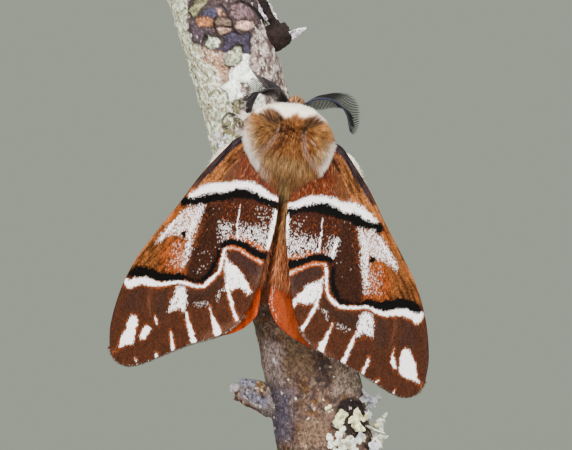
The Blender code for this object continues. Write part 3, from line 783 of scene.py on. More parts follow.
@dataclass
class Tufts:
    """Many tapering hairs as one joined mesh, each bent from its root over a middle point to its tip."""

    roots: Array
    bends: Array
    tips: Array
    widths: Array
    root_colours: Array
    tip_colours: Array
    unwrap: Array
    rings: int = 2
    flatness: float = 0.7
    fullness: float = 0.75
    patch: float = 0.003

    def chosen(self, keep: Array) -> "Tufts":
        """Only some of the hairs."""
        parts = ("roots", "bends", "tips", "widths", "root_colours", "tip_colours", "unwrap")
        return replace(self, **{part: getattr(self, part)[keep] for part in parts})

    def mesh(self, name: str) -> bpy.types.Mesh:
        """Builds the mesh in world metres.

        Args:
            name: The mesh's name.

        Returns:
            The mesh, with its colours in coat and its unwrap in OFBake.
        """
        count, rings = len(self.roots), self.rings
        per = 3 * rings + 1
        shares = np.arange(rings + 1) / rings
        points = np.zeros((count, per, 3))
        colours = np.zeros((count, per, 3))
        uvs = np.zeros((count, per, 2))
        away = self.bends - self.roots
        side = unit(np.cross(self.tips - self.roots, away + np.array((0.013, 0.007, 0.011))))
        for ring, f in enumerate(shares):
            centre = (1 - f) ** 2 * self.roots + 2 * f * (1 - f) * self.bends + f**2 * self.tips
            colour = self.root_colours + (self.tip_colours - self.root_colours) * f
            if ring == rings:
                points[:, -1], colours[:, -1] = centre, colour
                uvs[:, -1] = self.unwrap + self.patch * np.array((0.5, 1.0))
                continue
            along = unit(2 * (1 - f) * away + 2 * f * (self.tips - self.bends))
            lift = np.cross(along, side)
            wide = self.widths[:, None] * 0.5 * (1 - f**2 * self.fullness)
            for corner in range(3):
                angle = 2 * math.pi * corner / 3
                spot = 3 * ring + corner
                points[:, spot] = centre + wide * (math.cos(angle) * side
                                                   + math.sin(angle) * self.flatness * lift)
                colours[:, spot] = colour
                uvs[:, spot] = self.unwrap + self.patch * np.array((corner / 2, f))
        faces = [(0, 2, 1)]
        for ring in range(rings - 1):
            for corner in range(3):
                a, b = 3 * ring + corner, 3 * ring + (corner + 1) % 3
                faces += [(a, b, a + 3), (b, b + 3, a + 3)]
        last = 3 * (rings - 1)
        faces += [(last + corner, last + (corner + 1) % 3, per - 1) for corner in range(3)]
        loops = (np.arange(count)[:, None, None] * per + np.array(faces)).reshape(-1)
        made = bpy.data.meshes.new(name)
        made.vertices.add(count * per)
        made.vertices.foreach_set("co", to_world(points.reshape(-1, 3)).astype(np.float32).ravel())
        made.loops.add(len(loops))
        made.loops.foreach_set("vertex_index", loops.astype(np.int32))
        made.polygons.add(len(loops) // 3)
        made.polygons.foreach_set("loop_start", np.arange(0, len(loops), 3, dtype=np.int32))
        made.update(calc_edges=True)
        made.shade_smooth()
        paint(made, "coat", colours.reshape(-1, 3))
        layer = made.uv_layers.new(name="OFBake")
        layer.uv.foreach_set("vector", uvs.reshape(-1, 2)[loops].astype(np.float32).ravel())
        return made


FORE_COSTA = (
    (-6.4, 1.4), (-6.9, 4.2), (-6.7, 6.0), (-5.4, 7.5), (-2.6, 10.1), (0.5, 12.4), (3.5, 14.8), (6.6, 17.1),
    (10.1, 18.75), (13.8, 19.6), (16.4, 19.45))
FORE_TERMEN = (
    (16.4, 19.45), (17.6, 18.6), (18.05, 17.0), (17.6, 15.2), (16.8, 13.4), (15.2, 9.9), (13.9, 6.3),
    (12.9, 4.6), (11.5, 3.3))
FORE_INNER = ((-3.2, 0.9), (-1.0, 0.5), (2.3, 0.6), (6.1, 1.4), (9.8, 2.4), (11.5, 3.3))
HIND_COSTA = (
    (-4.2, 2.0), (-5.6, 4.6), (-6.1, 7.3), (-5.2, 9.0), (-3.4, 10.0), (0.0, 11.2), (5.0, 12.7), (9.5, 13.4),
    (12.0, 12.9))
HIND_TERMEN = ((12.0, 12.9), (13.5, 11.4), (14.05, 9.3), (13.85, 6.6), (13.2, 4.6))
HIND_TAIL = {
    Side.LEFT: ((12.3, 3.3), (11.3, 2.5), (9.9, 2.3)),
    Side.RIGHT: ((12.2, 2.4), (11.0, 0.9), (9.4, 0.05)),
}
HIND_INNER = {
    Side.LEFT: ((-1.6, 1.4), (0.5, 1.43), (4.0, 1.76), (8.5, 2.25), (9.9, 2.3)),
    Side.RIGHT: ((-1.6, 1.04), (0.5, 0.89), (4.0, 0.56), (8.5, 0.1), (9.4, 0.05)),
}
FORE_VEINS = ((0.125, 0.0), (0.25, 0.0), (0.375, 0.5), (0.5, 0.5), (0.625, 0.0), (0.75, 0.3), (0.875, 0.0))
HIND_VEINS = ((0.17, 0.0), (0.33, 0.43), (0.5, 0.43), (0.67, 0.0), (0.83, 0.0))
# The right hindwing's orange is painted darker than the left's, as painted shade.
HIND_BRIGHT = {Side.LEFT: srgb(164, 56, 14), Side.RIGHT: srgb(122, 48, 20)}


@dataclass(frozen=True)
class ForeMarks:
    """The marks of one forewing as they lie on its plan.

    The band and the line are the two white cross lines. White marks have sharp edges and dust is thinly
    thrown. Black marks lie under the white, and those in over lie on top of it.
    """

    band: Stroke
    line: Stroke
    white: tuple[Mark, ...]
    dust: tuple[Mark, ...]
    black: tuple[Mark, ...]
    over: tuple[Mark, ...]
    orange: tuple[Mark, ...]


DUST = (
    Patch(((0.8, 1.0), (0.8, 2.4), (2.6, 2.6), (2.6, 0.9)), 0.8, 0.14),
    Patch(((0.6, 4.7), (0.6, 8.6), (6.5, 9.4), (6.5, 6.4), (4.2, 6.3)), 0.6, 0.006),
    Patch(((4.7, 10.9), (5.2, 12.4), (7.8, 12.8), (8.0, 10.7)), 1.0, 0.17),
    Stroke(((1.9, 11.4, 0.12), (3.4, 12.9, 0.2), (5.0, 14.2, 0.14)), 0.3, 0.95),
    Stroke(((-1.7, 5.5, 0.25), (-1.2, 7.0, 0.3), (-1.1, 8.2, 0.25), (-0.8, 9.4, 0.25)), 0.7, 0.2),
    Stroke(((9.5, 5.4, 0.12), (9.8, 6.0, 0.12), (10.6, 6.3, 0.06)), 0.5, 0.55),
    Stroke(((11.1, 7.4, 0.08), (11.3, 8.4, 0.16), (11.5, 9.0, 0.12)), 0.6, 0.4),
)
SHADE = (
    Patch((
        (0.6, 6.8), (0.6, 8.4), (3.0, 9.0), (6.0, 9.6), (8.6, 10.1), (8.8, 8.6), (8.0, 6.6), (5.0, 6.0),
        (2.5, 6.6)), 0.5, 0.38),
    Patch(((0.4, 0.9), (0.2, 6.6), (4.4, 6.4), (4.2, 0.9)), 0.5, 0.2),
    Patch(((4.8, 11.4), (5.2, 13.2), (8.2, 13.4), (8.2, 11.0)), 0.9, 0.2),
    Patch(((5.4, 13.2), (4.8, 14.9), (7.0, 17.0), (8.3, 17.4), (8.3, 12.6)), 0.8, 0.34),
    Patch(((1.2, 12.0), (1.0, 12.9), (4.0, 15.2), (5.0, 15.2)), 0.5, 0.3),
    Patch(((-6.2, 5.0), (-4.6, 5.0), (-1.7, 6.2), (-0.9, 10.4), (-3.0, 9.2)), 0.8, 0.4),
    Patch(((-4.4, 3.0), (-4.4, 5.6), (-2.0, 6.0), (-1.8, 3.4)), 0.8, 0.14),
    Patch(((10.0, 7.0), (10.0, 9.4), (11.4, 9.8), (11.0, 7.0)), 0.8, 0.25),
)
EMBER = (
    Patch(((0.4, 0.5), (0.4, 6.8), (4.3, 6.5), (4.9, 0.9)), 0.5, 0.13),
    Patch(((0.8, 7.9), (0.8, 9.3), (5.2, 9.7), (5.2, 8.9)), 0.6, 0.17),
    Patch(((1.0, 9.0), (1.2, 12.6), (5.2, 15.0), (4.6, 11.2), (8.2, 10.9), (5.0, 9.7)), 0.6, 0.4),
    Patch(((4.6, 10.9), (4.6, 12.9), (6.4, 13.8), (8.4, 13.6), (8.5, 10.4), (6.0, 10.8)), 0.7, 0.48),
    Patch(((-4.2, 1.5), (-4.2, 6.0), (-1.5, 6.4), (-1.3, 1.2)), 0.7, 0.3),
    Patch(((9.6, 10.2), (9.6, 12.2), (12.4, 12.4), (12.4, 10.0)), 0.4, 0.25),
)
FORE_MARKS = {
    Side.RIGHT: ForeMarks(
        Stroke((
            (-0.4, 0.5, 0.23), (-0.6, 1.5, 0.36), (-1.0, 2.5, 0.45), (-1.2, 3.5, 0.4), (-1.25, 4.5, 0.36),
            (-1.15, 5.5, 0.38), (-0.85, 6.4, 0.42), (-0.6, 7.2, 0.5), (-0.65, 8.1, 0.5), (-0.4, 9.1, 0.48),
            (0.0, 10.0, 0.42), (0.35, 10.9, 0.3), (0.5, 11.4, 0.15)), 0.4),
        Stroke((
            (5.2, 5.2, 0.08), (5.4, 5.4, 0.16), (6.0, 5.6, 0.19), (7.0, 5.7, 0.16), (7.8, 5.9, 0.15),
            (8.4, 6.3, 0.16), (8.9, 7.0, 0.16), (9.2, 7.8, 0.15), (9.3, 8.6, 0.14), (9.2, 9.5, 0.14),
            (9.15, 10.2, 0.15), (9.1, 10.8, 0.15), (9.25, 11.6, 0.15), (9.5, 12.4, 0.2), (9.65, 13.2, 0.23),
            (9.6, 14.0, 0.28), (9.45, 15.0, 0.34), (9.45, 16.0, 0.36), (9.75, 17.0, 0.4),
            (10.0, 17.6, 0.45), (9.6, 18.1, 0.3)), 0.16),
        (
            Patch((
                (6.4, 5.3), (6.9, 4.8), (7.0, 4.0), (7.3, 3.4), (8.0, 3.0), (8.6, 2.4), (9.2, 2.0),
                (9.9, 1.9), (9.6, 2.3), (9.1, 2.9), (9.2, 3.9), (9.0, 4.5), (8.4, 5.0),
                (7.6, 5.3)), 0.34, 0.93),
            Stroke((
                (7.6, 5.2, 0.12), (9.0, 4.9, 0.16), (10.0, 4.5, 0.16), (11.0, 4.0, 0.16),
                (11.9, 3.5, 0.22)), 0.14),
            Stroke((
                (10.9, 7.1, 0.05), (11.6, 6.9, 0.08), (12.4, 6.5, 0.2), (13.2, 6.2, 0.38),
                (13.7, 6.0, 0.36)), 0.12),
            Stroke((
                (12.0, 10.0, 0.1), (12.8, 9.7, 0.2), (13.8, 9.3, 0.25), (14.6, 9.0, 0.3),
                (14.9, 8.9, 0.3)), 0.14),
            Stroke(((14.1, 12.0, 0.06), (14.7, 11.9, 0.15), (15.3, 11.6, 0.17), (16.0, 11.4, 0.17)), 0.12),
            Stroke(((16.3, 13.5, 0.05), (16.6, 13.2, 0.12), (16.8, 13.1, 0.08)), 0.1),
            Stroke(((17.3, 15.7, 0.05), (17.8, 15.5, 0.08)), 0.08),
            Patch((
                (13.2, 14.95), (13.9, 15.1), (14.5, 15.3), (15.2, 15.6), (15.1, 15.2), (14.7, 14.9),
                (14.4, 14.7), (13.9, 14.75)), 0.14),
            Patch((
                (13.1, 16.3), (13.1, 16.8), (13.9, 17.5), (14.6, 17.9), (15.6, 18.2), (16.0, 18.2),
                (16.2, 18.6), (16.8, 19.0), (17.0, 19.1), (16.6, 18.8), (16.4, 18.3), (16.2, 17.6),
                (16.0, 16.8), (15.6, 16.0), (14.8, 15.9), (13.8, 15.9), (13.3, 16.1)), 0.12),
        ),
        (
            Patch((
                (9.8, 10.3), (9.6, 11.0), (10.0, 11.9), (11.0, 12.1), (12.1, 12.2), (12.0, 11.6),
                (11.7, 10.9), (12.1, 10.3), (12.2, 10.0), (11.0, 10.1), (10.2, 10.2)), 0.4, 0.84),
            Stroke(((0.9, 0.5, 0.28), (2.5, 0.55, 0.35), (4.2, 0.65, 0.3)), 0.4, 0.95),
            Patch(((2.5, 0.9), (2.7, 4.2), (4.2, 4.3), (4.5, 2.5), (4.7, 0.9)), 1.1, 0.54),
            Stroke(((0.5, 4.4, 0.04), (2.0, 4.45, 0.07), (3.2, 4.4, 0.1), (3.9, 4.3, 0.15)), 0.12, 0.95),
            Stroke(((2.5, 6.45, 0.12), (3.4, 6.2, 0.28), (4.4, 6.0, 0.22)), 0.4, 0.9),
            Patch(((2.6, 5.2), (2.6, 6.6), (4.3, 6.4), (4.4, 5.0)), 0.9, 0.4),
            Patch((
                (1.3, 8.9), (1.4, 10.2), (1.3, 11.0), (2.0, 12.0), (3.0, 13.2), (4.0, 14.1), (5.0, 14.6),
                (5.4, 14.4), (4.9, 13.6), (4.5, 12.6), (4.2, 11.5), (4.3, 10.9), (5.0, 10.7), (6.0, 10.9),
                (7.0, 11.1), (7.8, 10.8), (8.0, 10.5), (7.0, 10.2), (6.0, 9.9), (5.0, 9.6), (4.0, 9.4),
                (3.0, 9.3), (2.0, 9.0)), 0.5, 0.58),
            Stroke((
                (1.5, 9.3, 0.2), (2.6, 9.8, 0.45), (3.8, 10.2, 0.5), (5.0, 10.3, 0.35), (6.4, 10.6, 0.3),
                (7.6, 10.8, 0.18)), 0.6, 0.78),
        ),
        (
            Stroke((
                (0.35, 0.3, 0.3), (0.15, 1.3, 0.22), (-0.15, 2.3, 0.3), (-0.4, 3.2, 0.42),
                (-0.4, 4.5, 0.45), (-0.3, 5.4, 0.45), (0.0, 6.2, 0.38), (0.25, 7.0, 0.3), (0.3, 8.0, 0.4),
                (0.55, 9.0, 0.5), (0.85, 10.0, 0.42), (0.95, 11.0, 0.38), (1.2, 11.8, 0.35)), 0.3),
            Stroke((
                (8.75, 10.2, 0.25), (8.6, 11.0, 0.35), (8.85, 12.0, 0.42), (8.9, 13.0, 0.48),
                (8.8, 13.8, 0.5), (8.5, 15.0, 0.5), (8.6, 16.0, 0.5), (8.85, 17.0, 0.55),
                (9.2, 17.7, 0.35)), 0.4),
            Stroke((
                (5.4, 6.3, 0.25), (6.5, 6.4, 0.3), (7.6, 6.8, 0.35), (8.6, 7.6, 0.3), (8.8, 9.0, 0.2),
                (8.8, 10.2, 0.2)), 0.4),
        ),
        (
            Stroke((
                (5.6, 0.8, 0.4), (5.4, 1.5, 0.38), (5.1, 2.5, 0.32), (4.7, 3.5, 0.3), (4.5, 4.5, 0.33),
                (4.55, 5.5, 0.33), (4.8, 5.9, 0.25)), 0.2),
            Stroke(((4.15, 10.9, 0.22), (4.3, 11.2, 0.27), (4.5, 10.75, 0.14)), 0.1),
            Stroke(((8.9, 1.8, 0.1), (7.9, 2.8, 0.13), (7.15, 3.4, 0.13), (6.85, 4.2, 0.1)), 0.3, 0.6),
        ),
        (
            Stroke((
                (6.4, 1.1, 0.34), (6.2, 1.6, 0.33), (5.8, 2.5, 0.25), (5.4, 3.3, 0.23), (5.15, 4.2, 0.23),
                (5.15, 5.0, 0.26)), 0.16, 0.96),
            Stroke(((4.9, 0.9, 0.3), (4.5, 2.5, 0.26), (4.05, 4.0, 0.26), (4.0, 5.6, 0.22)), 0.4, 0.8),
            Stroke(((0.8, 0.2, 0.12), (3.0, 0.3, 0.14), (5.0, 0.6, 0.14)), 0.2, 0.8),
        ),
    ),
    Side.LEFT: ForeMarks(
        Stroke((
            (-0.6, 0.5, 0.2), (-0.9, 1.3, 0.35), (-1.4, 2.4, 0.45), (-1.75, 3.4, 0.46), (-1.85, 4.4, 0.43),
            (-1.8, 5.3, 0.42), (-1.55, 6.2, 0.46), (-1.4, 7.2, 0.52), (-1.35, 8.2, 0.5), (-1.05, 9.2, 0.48),
            (-0.65, 10.2, 0.4), (-0.3, 11.1, 0.25)), 0.4),
        Stroke((
            (4.8, 5.7, 0.08), (5.0, 6.0, 0.16), (5.7, 6.1, 0.19), (6.6, 6.3, 0.16), (7.3, 6.5, 0.15),
            (7.8, 7.0, 0.16), (8.4, 7.6, 0.16), (8.9, 8.2, 0.15), (9.0, 9.0, 0.14), (8.9, 9.8, 0.14),
            (8.75, 10.6, 0.15), (8.75, 11.4, 0.15), (8.9, 12.2, 0.18), (9.05, 13.0, 0.2),
            (9.15, 14.0, 0.25), (9.05, 15.0, 0.38), (8.95, 16.0, 0.35), (9.2, 17.0, 0.4), (9.4, 17.6, 0.45),
            (9.2, 18.1, 0.3)), 0.16),
        (
            Patch((
                (5.2, 5.85), (6.1, 5.5), (6.3, 4.9), (6.6, 4.4), (7.1, 3.9), (7.8, 3.3), (8.5, 2.8),
                (9.0, 2.6), (9.4, 3.0), (8.9, 3.4), (8.7, 3.9), (8.9, 4.6), (9.2, 5.2), (8.5, 5.5),
                (7.4, 5.8), (6.4, 5.9)), 0.34, 0.93),
            Stroke((
                (8.6, 5.4, 0.25), (9.6, 5.1, 0.2), (10.6, 4.7, 0.16), (11.4, 4.3, 0.16),
                (12.0, 4.0, 0.18)), 0.14),
            Stroke((
                (10.9, 7.3, 0.05), (11.9, 7.0, 0.1), (12.6, 6.6, 0.3), (13.3, 6.3, 0.42),
                (13.6, 6.2, 0.4)), 0.12),
            Stroke(((11.9, 10.1, 0.12), (12.8, 9.8, 0.2), (13.8, 9.4, 0.28), (14.7, 9.0, 0.34)), 0.14),
            Stroke(((13.9, 11.9, 0.06), (14.7, 11.7, 0.15), (15.8, 11.4, 0.22)), 0.12),
            Stroke(((16.3, 13.5, 0.07), (16.8, 13.4, 0.14)), 0.1),
            Stroke(((17.2, 16.0, 0.07), (17.4, 15.9, 0.08)), 0.08),
            Patch((
                (13.6, 14.7), (13.6, 15.1), (14.2, 15.5), (14.8, 15.7), (15.1, 15.6), (14.9, 15.0),
                (14.4, 14.6), (13.9, 14.4)), 0.14),
            Patch((
                (12.7, 16.3), (12.7, 17.0), (13.4, 17.4), (14.4, 17.6), (15.1, 18.1), (15.9, 18.2),
                (16.5, 18.5), (16.7, 18.9), (16.0, 17.8), (15.8, 17.2), (15.7, 16.5), (15.0, 16.3),
                (14.0, 16.3), (13.2, 16.1)), 0.12),
            Stroke(((12.6, 14.0, 0.07), (12.9, 13.8, 0.1), (13.3, 13.6, 0.05)), 0.1),
        ),
        (
            Patch((
                (9.2, 10.4), (9.1, 11.4), (10.2, 11.8), (11.0, 12.2), (12.0, 12.5), (11.8, 11.8),
                (11.5, 11.0), (11.8, 10.3), (10.8, 10.1), (9.8, 10.2)), 0.4, 0.84),
            Stroke(((0.7, 0.6, 0.28), (2.2, 0.65, 0.35), (3.4, 0.85, 0.4), (4.3, 1.1, 0.3)), 0.4, 0.95),
            Patch(((2.3, 1.2), (2.5, 4.6), (3.9, 4.7), (4.2, 2.5), (4.4, 1.2)), 1.1, 0.52),
            Stroke(((0.2, 4.6, 0.04), (1.2, 4.65, 0.07), (2.5, 4.7, 0.1), (3.6, 4.6, 0.14)), 0.12, 0.95),
            Patch(((2.3, 5.3), (2.3, 6.9), (4.0, 6.7), (4.0, 5.2)), 0.9, 0.48),
            Patch((
                (0.6, 9.0), (0.4, 9.6), (0.8, 10.3), (0.7, 11.0), (1.5, 12.0), (2.5, 13.0), (3.5, 14.0),
                (4.5, 14.6), (5.0, 14.8), (4.6, 14.0), (4.0, 13.3), (3.8, 12.2), (4.0, 11.0), (5.0, 10.8),
                (6.0, 11.0), (7.2, 11.3), (7.4, 10.9), (6.5, 10.5), (5.5, 10.1), (4.5, 10.0), (3.5, 9.8),
                (2.5, 9.5), (1.5, 9.1)), 0.5, 0.58),
            Stroke((
                (0.9, 9.3, 0.25), (2.0, 9.9, 0.45), (3.2, 10.4, 0.45), (4.6, 10.5, 0.3), (5.8, 10.6, 0.28),
                (7.0, 10.9, 0.18)), 0.6, 0.78),
            Patch(((5.0, 7.3), (5.0, 9.4), (8.0, 9.6), (8.0, 8.0)), 0.8, 0.03),
        ),
        (
            Stroke((
                (-0.05, 0.5, 0.3), (-0.25, 1.4, 0.3), (-0.5, 2.3, 0.32), (-0.95, 3.3, 0.4),
                (-1.0, 4.4, 0.42), (-0.95, 5.2, 0.42), (-0.75, 6.1, 0.35), (-0.45, 7.0, 0.35),
                (-0.4, 8.0, 0.42), (-0.2, 9.0, 0.42), (0.1, 10.0, 0.35), (0.15, 11.0, 0.38),
                (0.4, 11.8, 0.35)), 0.3),
            Stroke((
                (8.2, 10.4, 0.3), (8.15, 11.2, 0.4), (8.4, 12.0, 0.42), (8.35, 13.0, 0.5),
                (8.35, 14.0, 0.45), (8.05, 15.0, 0.5), (8.05, 16.5, 0.6), (8.2, 17.3, 0.5),
                (8.4, 17.6, 0.35)), 0.4),
            Stroke((
                (5.0, 6.7, 0.22), (6.2, 6.9, 0.28), (7.2, 7.4, 0.32), (8.2, 8.3, 0.28), (8.4, 9.4, 0.2),
                (8.3, 10.4, 0.2)), 0.4),
        ),
        (
            Stroke((
                (5.3, 1.4, 0.35), (5.1, 2.2, 0.32), (4.7, 3.1, 0.33), (4.3, 4.0, 0.33), (4.1, 5.0, 0.33),
                (4.2, 5.8, 0.35), (4.6, 6.3, 0.25)), 0.2),
            Stroke(((3.55, 11.1, 0.2), (3.7, 11.35, 0.25), (3.95, 11.15, 0.14)), 0.1),
            Stroke(((8.2, 2.7, 0.1), (7.4, 3.4, 0.13), (6.6, 4.1, 0.13), (6.1, 4.9, 0.1)), 0.3, 0.6),
        ),
        (
            Stroke((
                (5.9, 1.7, 0.3), (5.6, 2.6, 0.25), (5.3, 3.3, 0.24), (4.9, 4.0, 0.23), (4.7, 4.8, 0.23),
                (4.75, 5.5, 0.26)), 0.16, 0.96),
            Stroke(((4.6, 1.3, 0.3), (4.1, 2.7, 0.26), (3.7, 4.0, 0.26), (3.6, 5.6, 0.24)), 0.4, 0.8),
            Stroke(((0.6, 0.3, 0.12), (2.6, 0.4, 0.14), (4.6, 0.7, 0.14)), 0.2, 0.8),
        ),
    ),
}
BROWN = srgb(57, 29, 16)
BLACK_SWELL = (1.5, 1.25, 1.25)
LEFT_SHIFT = (-0.45, 0.15)
GROUNDS: tuple[tuple[Colour, Mark], ...] = (
    (srgb(74, 50, 42), Patch(((6.6, 0.8), (6.6, 2.4), (8.2, 2.4), (9.4, 1.6), (11.6, 2.6), (11.6, 1.4)),
                             0.9, 0.8)),
    (srgb(46, 27, 22), Patch((
        (6.1, 1.8), (5.5, 3.2), (5.3, 5.0), (6.6, 5.2), (7.0, 3.9), (7.9, 2.8), (7.6, 1.8)), 0.7)),
    (srgb(46, 27, 19), Stroke(((7.6, 5.6, 0.3), (8.8, 6.0, 0.5), (9.7, 7.3, 0.6), (10.4, 8.6, 0.75),
                               (10.6, 9.6, 0.6)), 0.8, 0.95)),
    (srgb(48, 29, 20), Stroke(((10.4, 12.9, 0.5), (11.4, 13.1, 0.8), (12.6, 13.3, 0.6)), 0.9, 0.95)),
    (srgb(50, 28, 20), Patch(((10.2, 15.4), (10.4, 17.4), (12.4, 18.2), (13.2, 17.0), (12.6, 15.6)), 1.0,
                             0.95)),
    (srgb(90, 54, 38), Stroke(((9.9, 14.6, 0.12), (11.2, 14.75, 0.18), (13.0, 14.4, 0.12)), 0.4, 0.5)),
    (srgb(94, 60, 46), Stroke(((12.6, 3.8, 0.4), (13.4, 5.0, 0.3), (14.6, 7.6, 0.35)), 0.8, 0.6)),
    (srgb(46, 20, 11), Patch(((0.2, 0.2), (-0.4, 6.6), (2.0, 6.9), (4.6, 6.4), (5.2, 5.6), (6.0, 0.8)),
                             0.4)),
    (srgb(94, 52, 22), Patch(((0.8, 8.9), (0.9, 12.4), (4.0, 15.4), (8.6, 18.4), (9.0, 11.0), (5.2, 9.8)),
                             0.5)),
    (srgb(100, 46, 17), Patch((
        (4.6, 10.9), (4.8, 12.8), (6.6, 14.0), (8.4, 13.8), (8.8, 10.4), (6.5, 10.6)), 0.9, 0.9)),
    (srgb(46, 22, 12), Patch((
        (0.8, 6.6), (2.0, 6.8), (3.0, 6.6), (4.0, 6.3), (5.0, 5.9), (6.0, 6.0), (7.0, 6.1), (8.0, 6.6),
        (8.9, 7.4), (9.1, 9.0), (8.8, 10.2), (8.0, 10.0), (7.0, 9.9), (6.0, 9.5), (5.0, 9.2), (4.0, 9.1),
        (3.0, 8.9), (2.0, 8.7), (0.8, 8.3)), 0.4)),
    (srgb(78, 30, 9), Patch(((-7.5, -1.0), (-6.5, 4.2), (-4.0, 5.7), (-1.2, 6.8), (-1.0, 3.5), (0.0, 0.0)),
                            0.7)),
    (srgb(120, 72, 36), Patch((
        (-6.8, 4.4), (-6.0, 6.4), (-2.6, 9.6), (0.5, 11.9), (-0.5, 8.5), (-1.2, 6.2), (-3.5, 5.4),
        (-5.5, 4.4)), 0.6)),
    (srgb(60, 28, 17), Patch(((-5.7, 4.9), (-5.3, 6.2), (-4.0, 6.3), (-3.6, 5.2), (-4.6, 4.3)), 0.6, 0.7)),
    (srgb(38, 28, 31), Stroke((
        (-6.9, 5.2, 0.45), (-5.6, 6.9, 0.45), (-4.2, 8.0, 0.38), (-2.6, 9.5, 0.3),
        (-1.2, 10.6, 0.12)), 0.22)),
    (srgb(132, 78, 40), Stroke(((-1.0, 11.0, 0.08), (2.5, 13.9, 0.13), (5.0, 15.9, 0.13),
                                (8.0, 18.0, 0.12)), 0.14)),
    (srgb(56, 32, 27), Stroke((
        (9.6, 18.8, 0.12), (12.0, 19.2, 0.25), (14.5, 19.5, 0.3), (16.4, 19.4, 0.25)), 0.3, 0.85)),
)


@dataclass(frozen=True)
class WingSheet:
    """A wing's curved surface, spanned between its front edge, outer edge, inner edge and root."""

    costa: Curve
    termen: Curve
    inner: Curve
    side: Side
    camber: float
    drop: float
    veins: tuple[tuple[float, float], ...]
    vein_height: float = 0.07
    vein_width: float = 0.022

    def plan(self, s: Array, t: Array) -> Array:
        """(tailward, outward) at s along the wing and t across it."""
        across = t[..., None]
        ends = self.costa.at(np.ones(1))[0] * (1 - across) + self.inner.at(np.ones(1))[0] * across
        edges = self.costa.at(s) * (1 - across) + self.inner.at(s) * across
        return edges + s[..., None] * (self.termen.at(t) - ends)

    def relief(self, s: Array, t: Array) -> Array:
        """How far the veins stand up from the sheet."""
        found = np.zeros_like(s)
        for line, start in self.veins:
            ridge = np.exp(-(((t - line) / self.vein_width) ** 2)) * smooth(s, start, start + 0.08)
            found = np.maximum(found, ridge)
        return found * self.vein_height * (1 - 0.6 * s)

    def place(self, s: Array, t: Array, lift: Array | float = 0.0) -> Array:
        """The point in the moth's frame, at a height over the sheet."""
        arch = self.camber * np.sin(math.pi * t) * np.sin(math.pi * np.minimum(s, 0.98) ** 0.8)
        height = self.drop + arch + self.relief(s, t) + lift
        away = self.plan(s, t) - PIVOT
        cos, sin = math.cos(self.side.spread), math.sin(self.side.spread)
        tailward = (PIVOT[0] + away[..., 0] * cos - away[..., 1] * sin) * self.side.reach
        outward = PIVOT[1] + away[..., 0] * sin + away[..., 1] * cos
        return np.stack((self.side.value * (outward * math.cos(ROOF) + height * math.sin(ROOF)), -tailward,
                         height * math.cos(ROOF) - outward * math.sin(ROOF)), axis=-1)

    def up(self) -> Array:
        """The direction straight out of the wing's upper face, in the moth's frame."""
        return np.array((self.side.value * math.sin(ROOF), 0.0, math.cos(ROOF)))


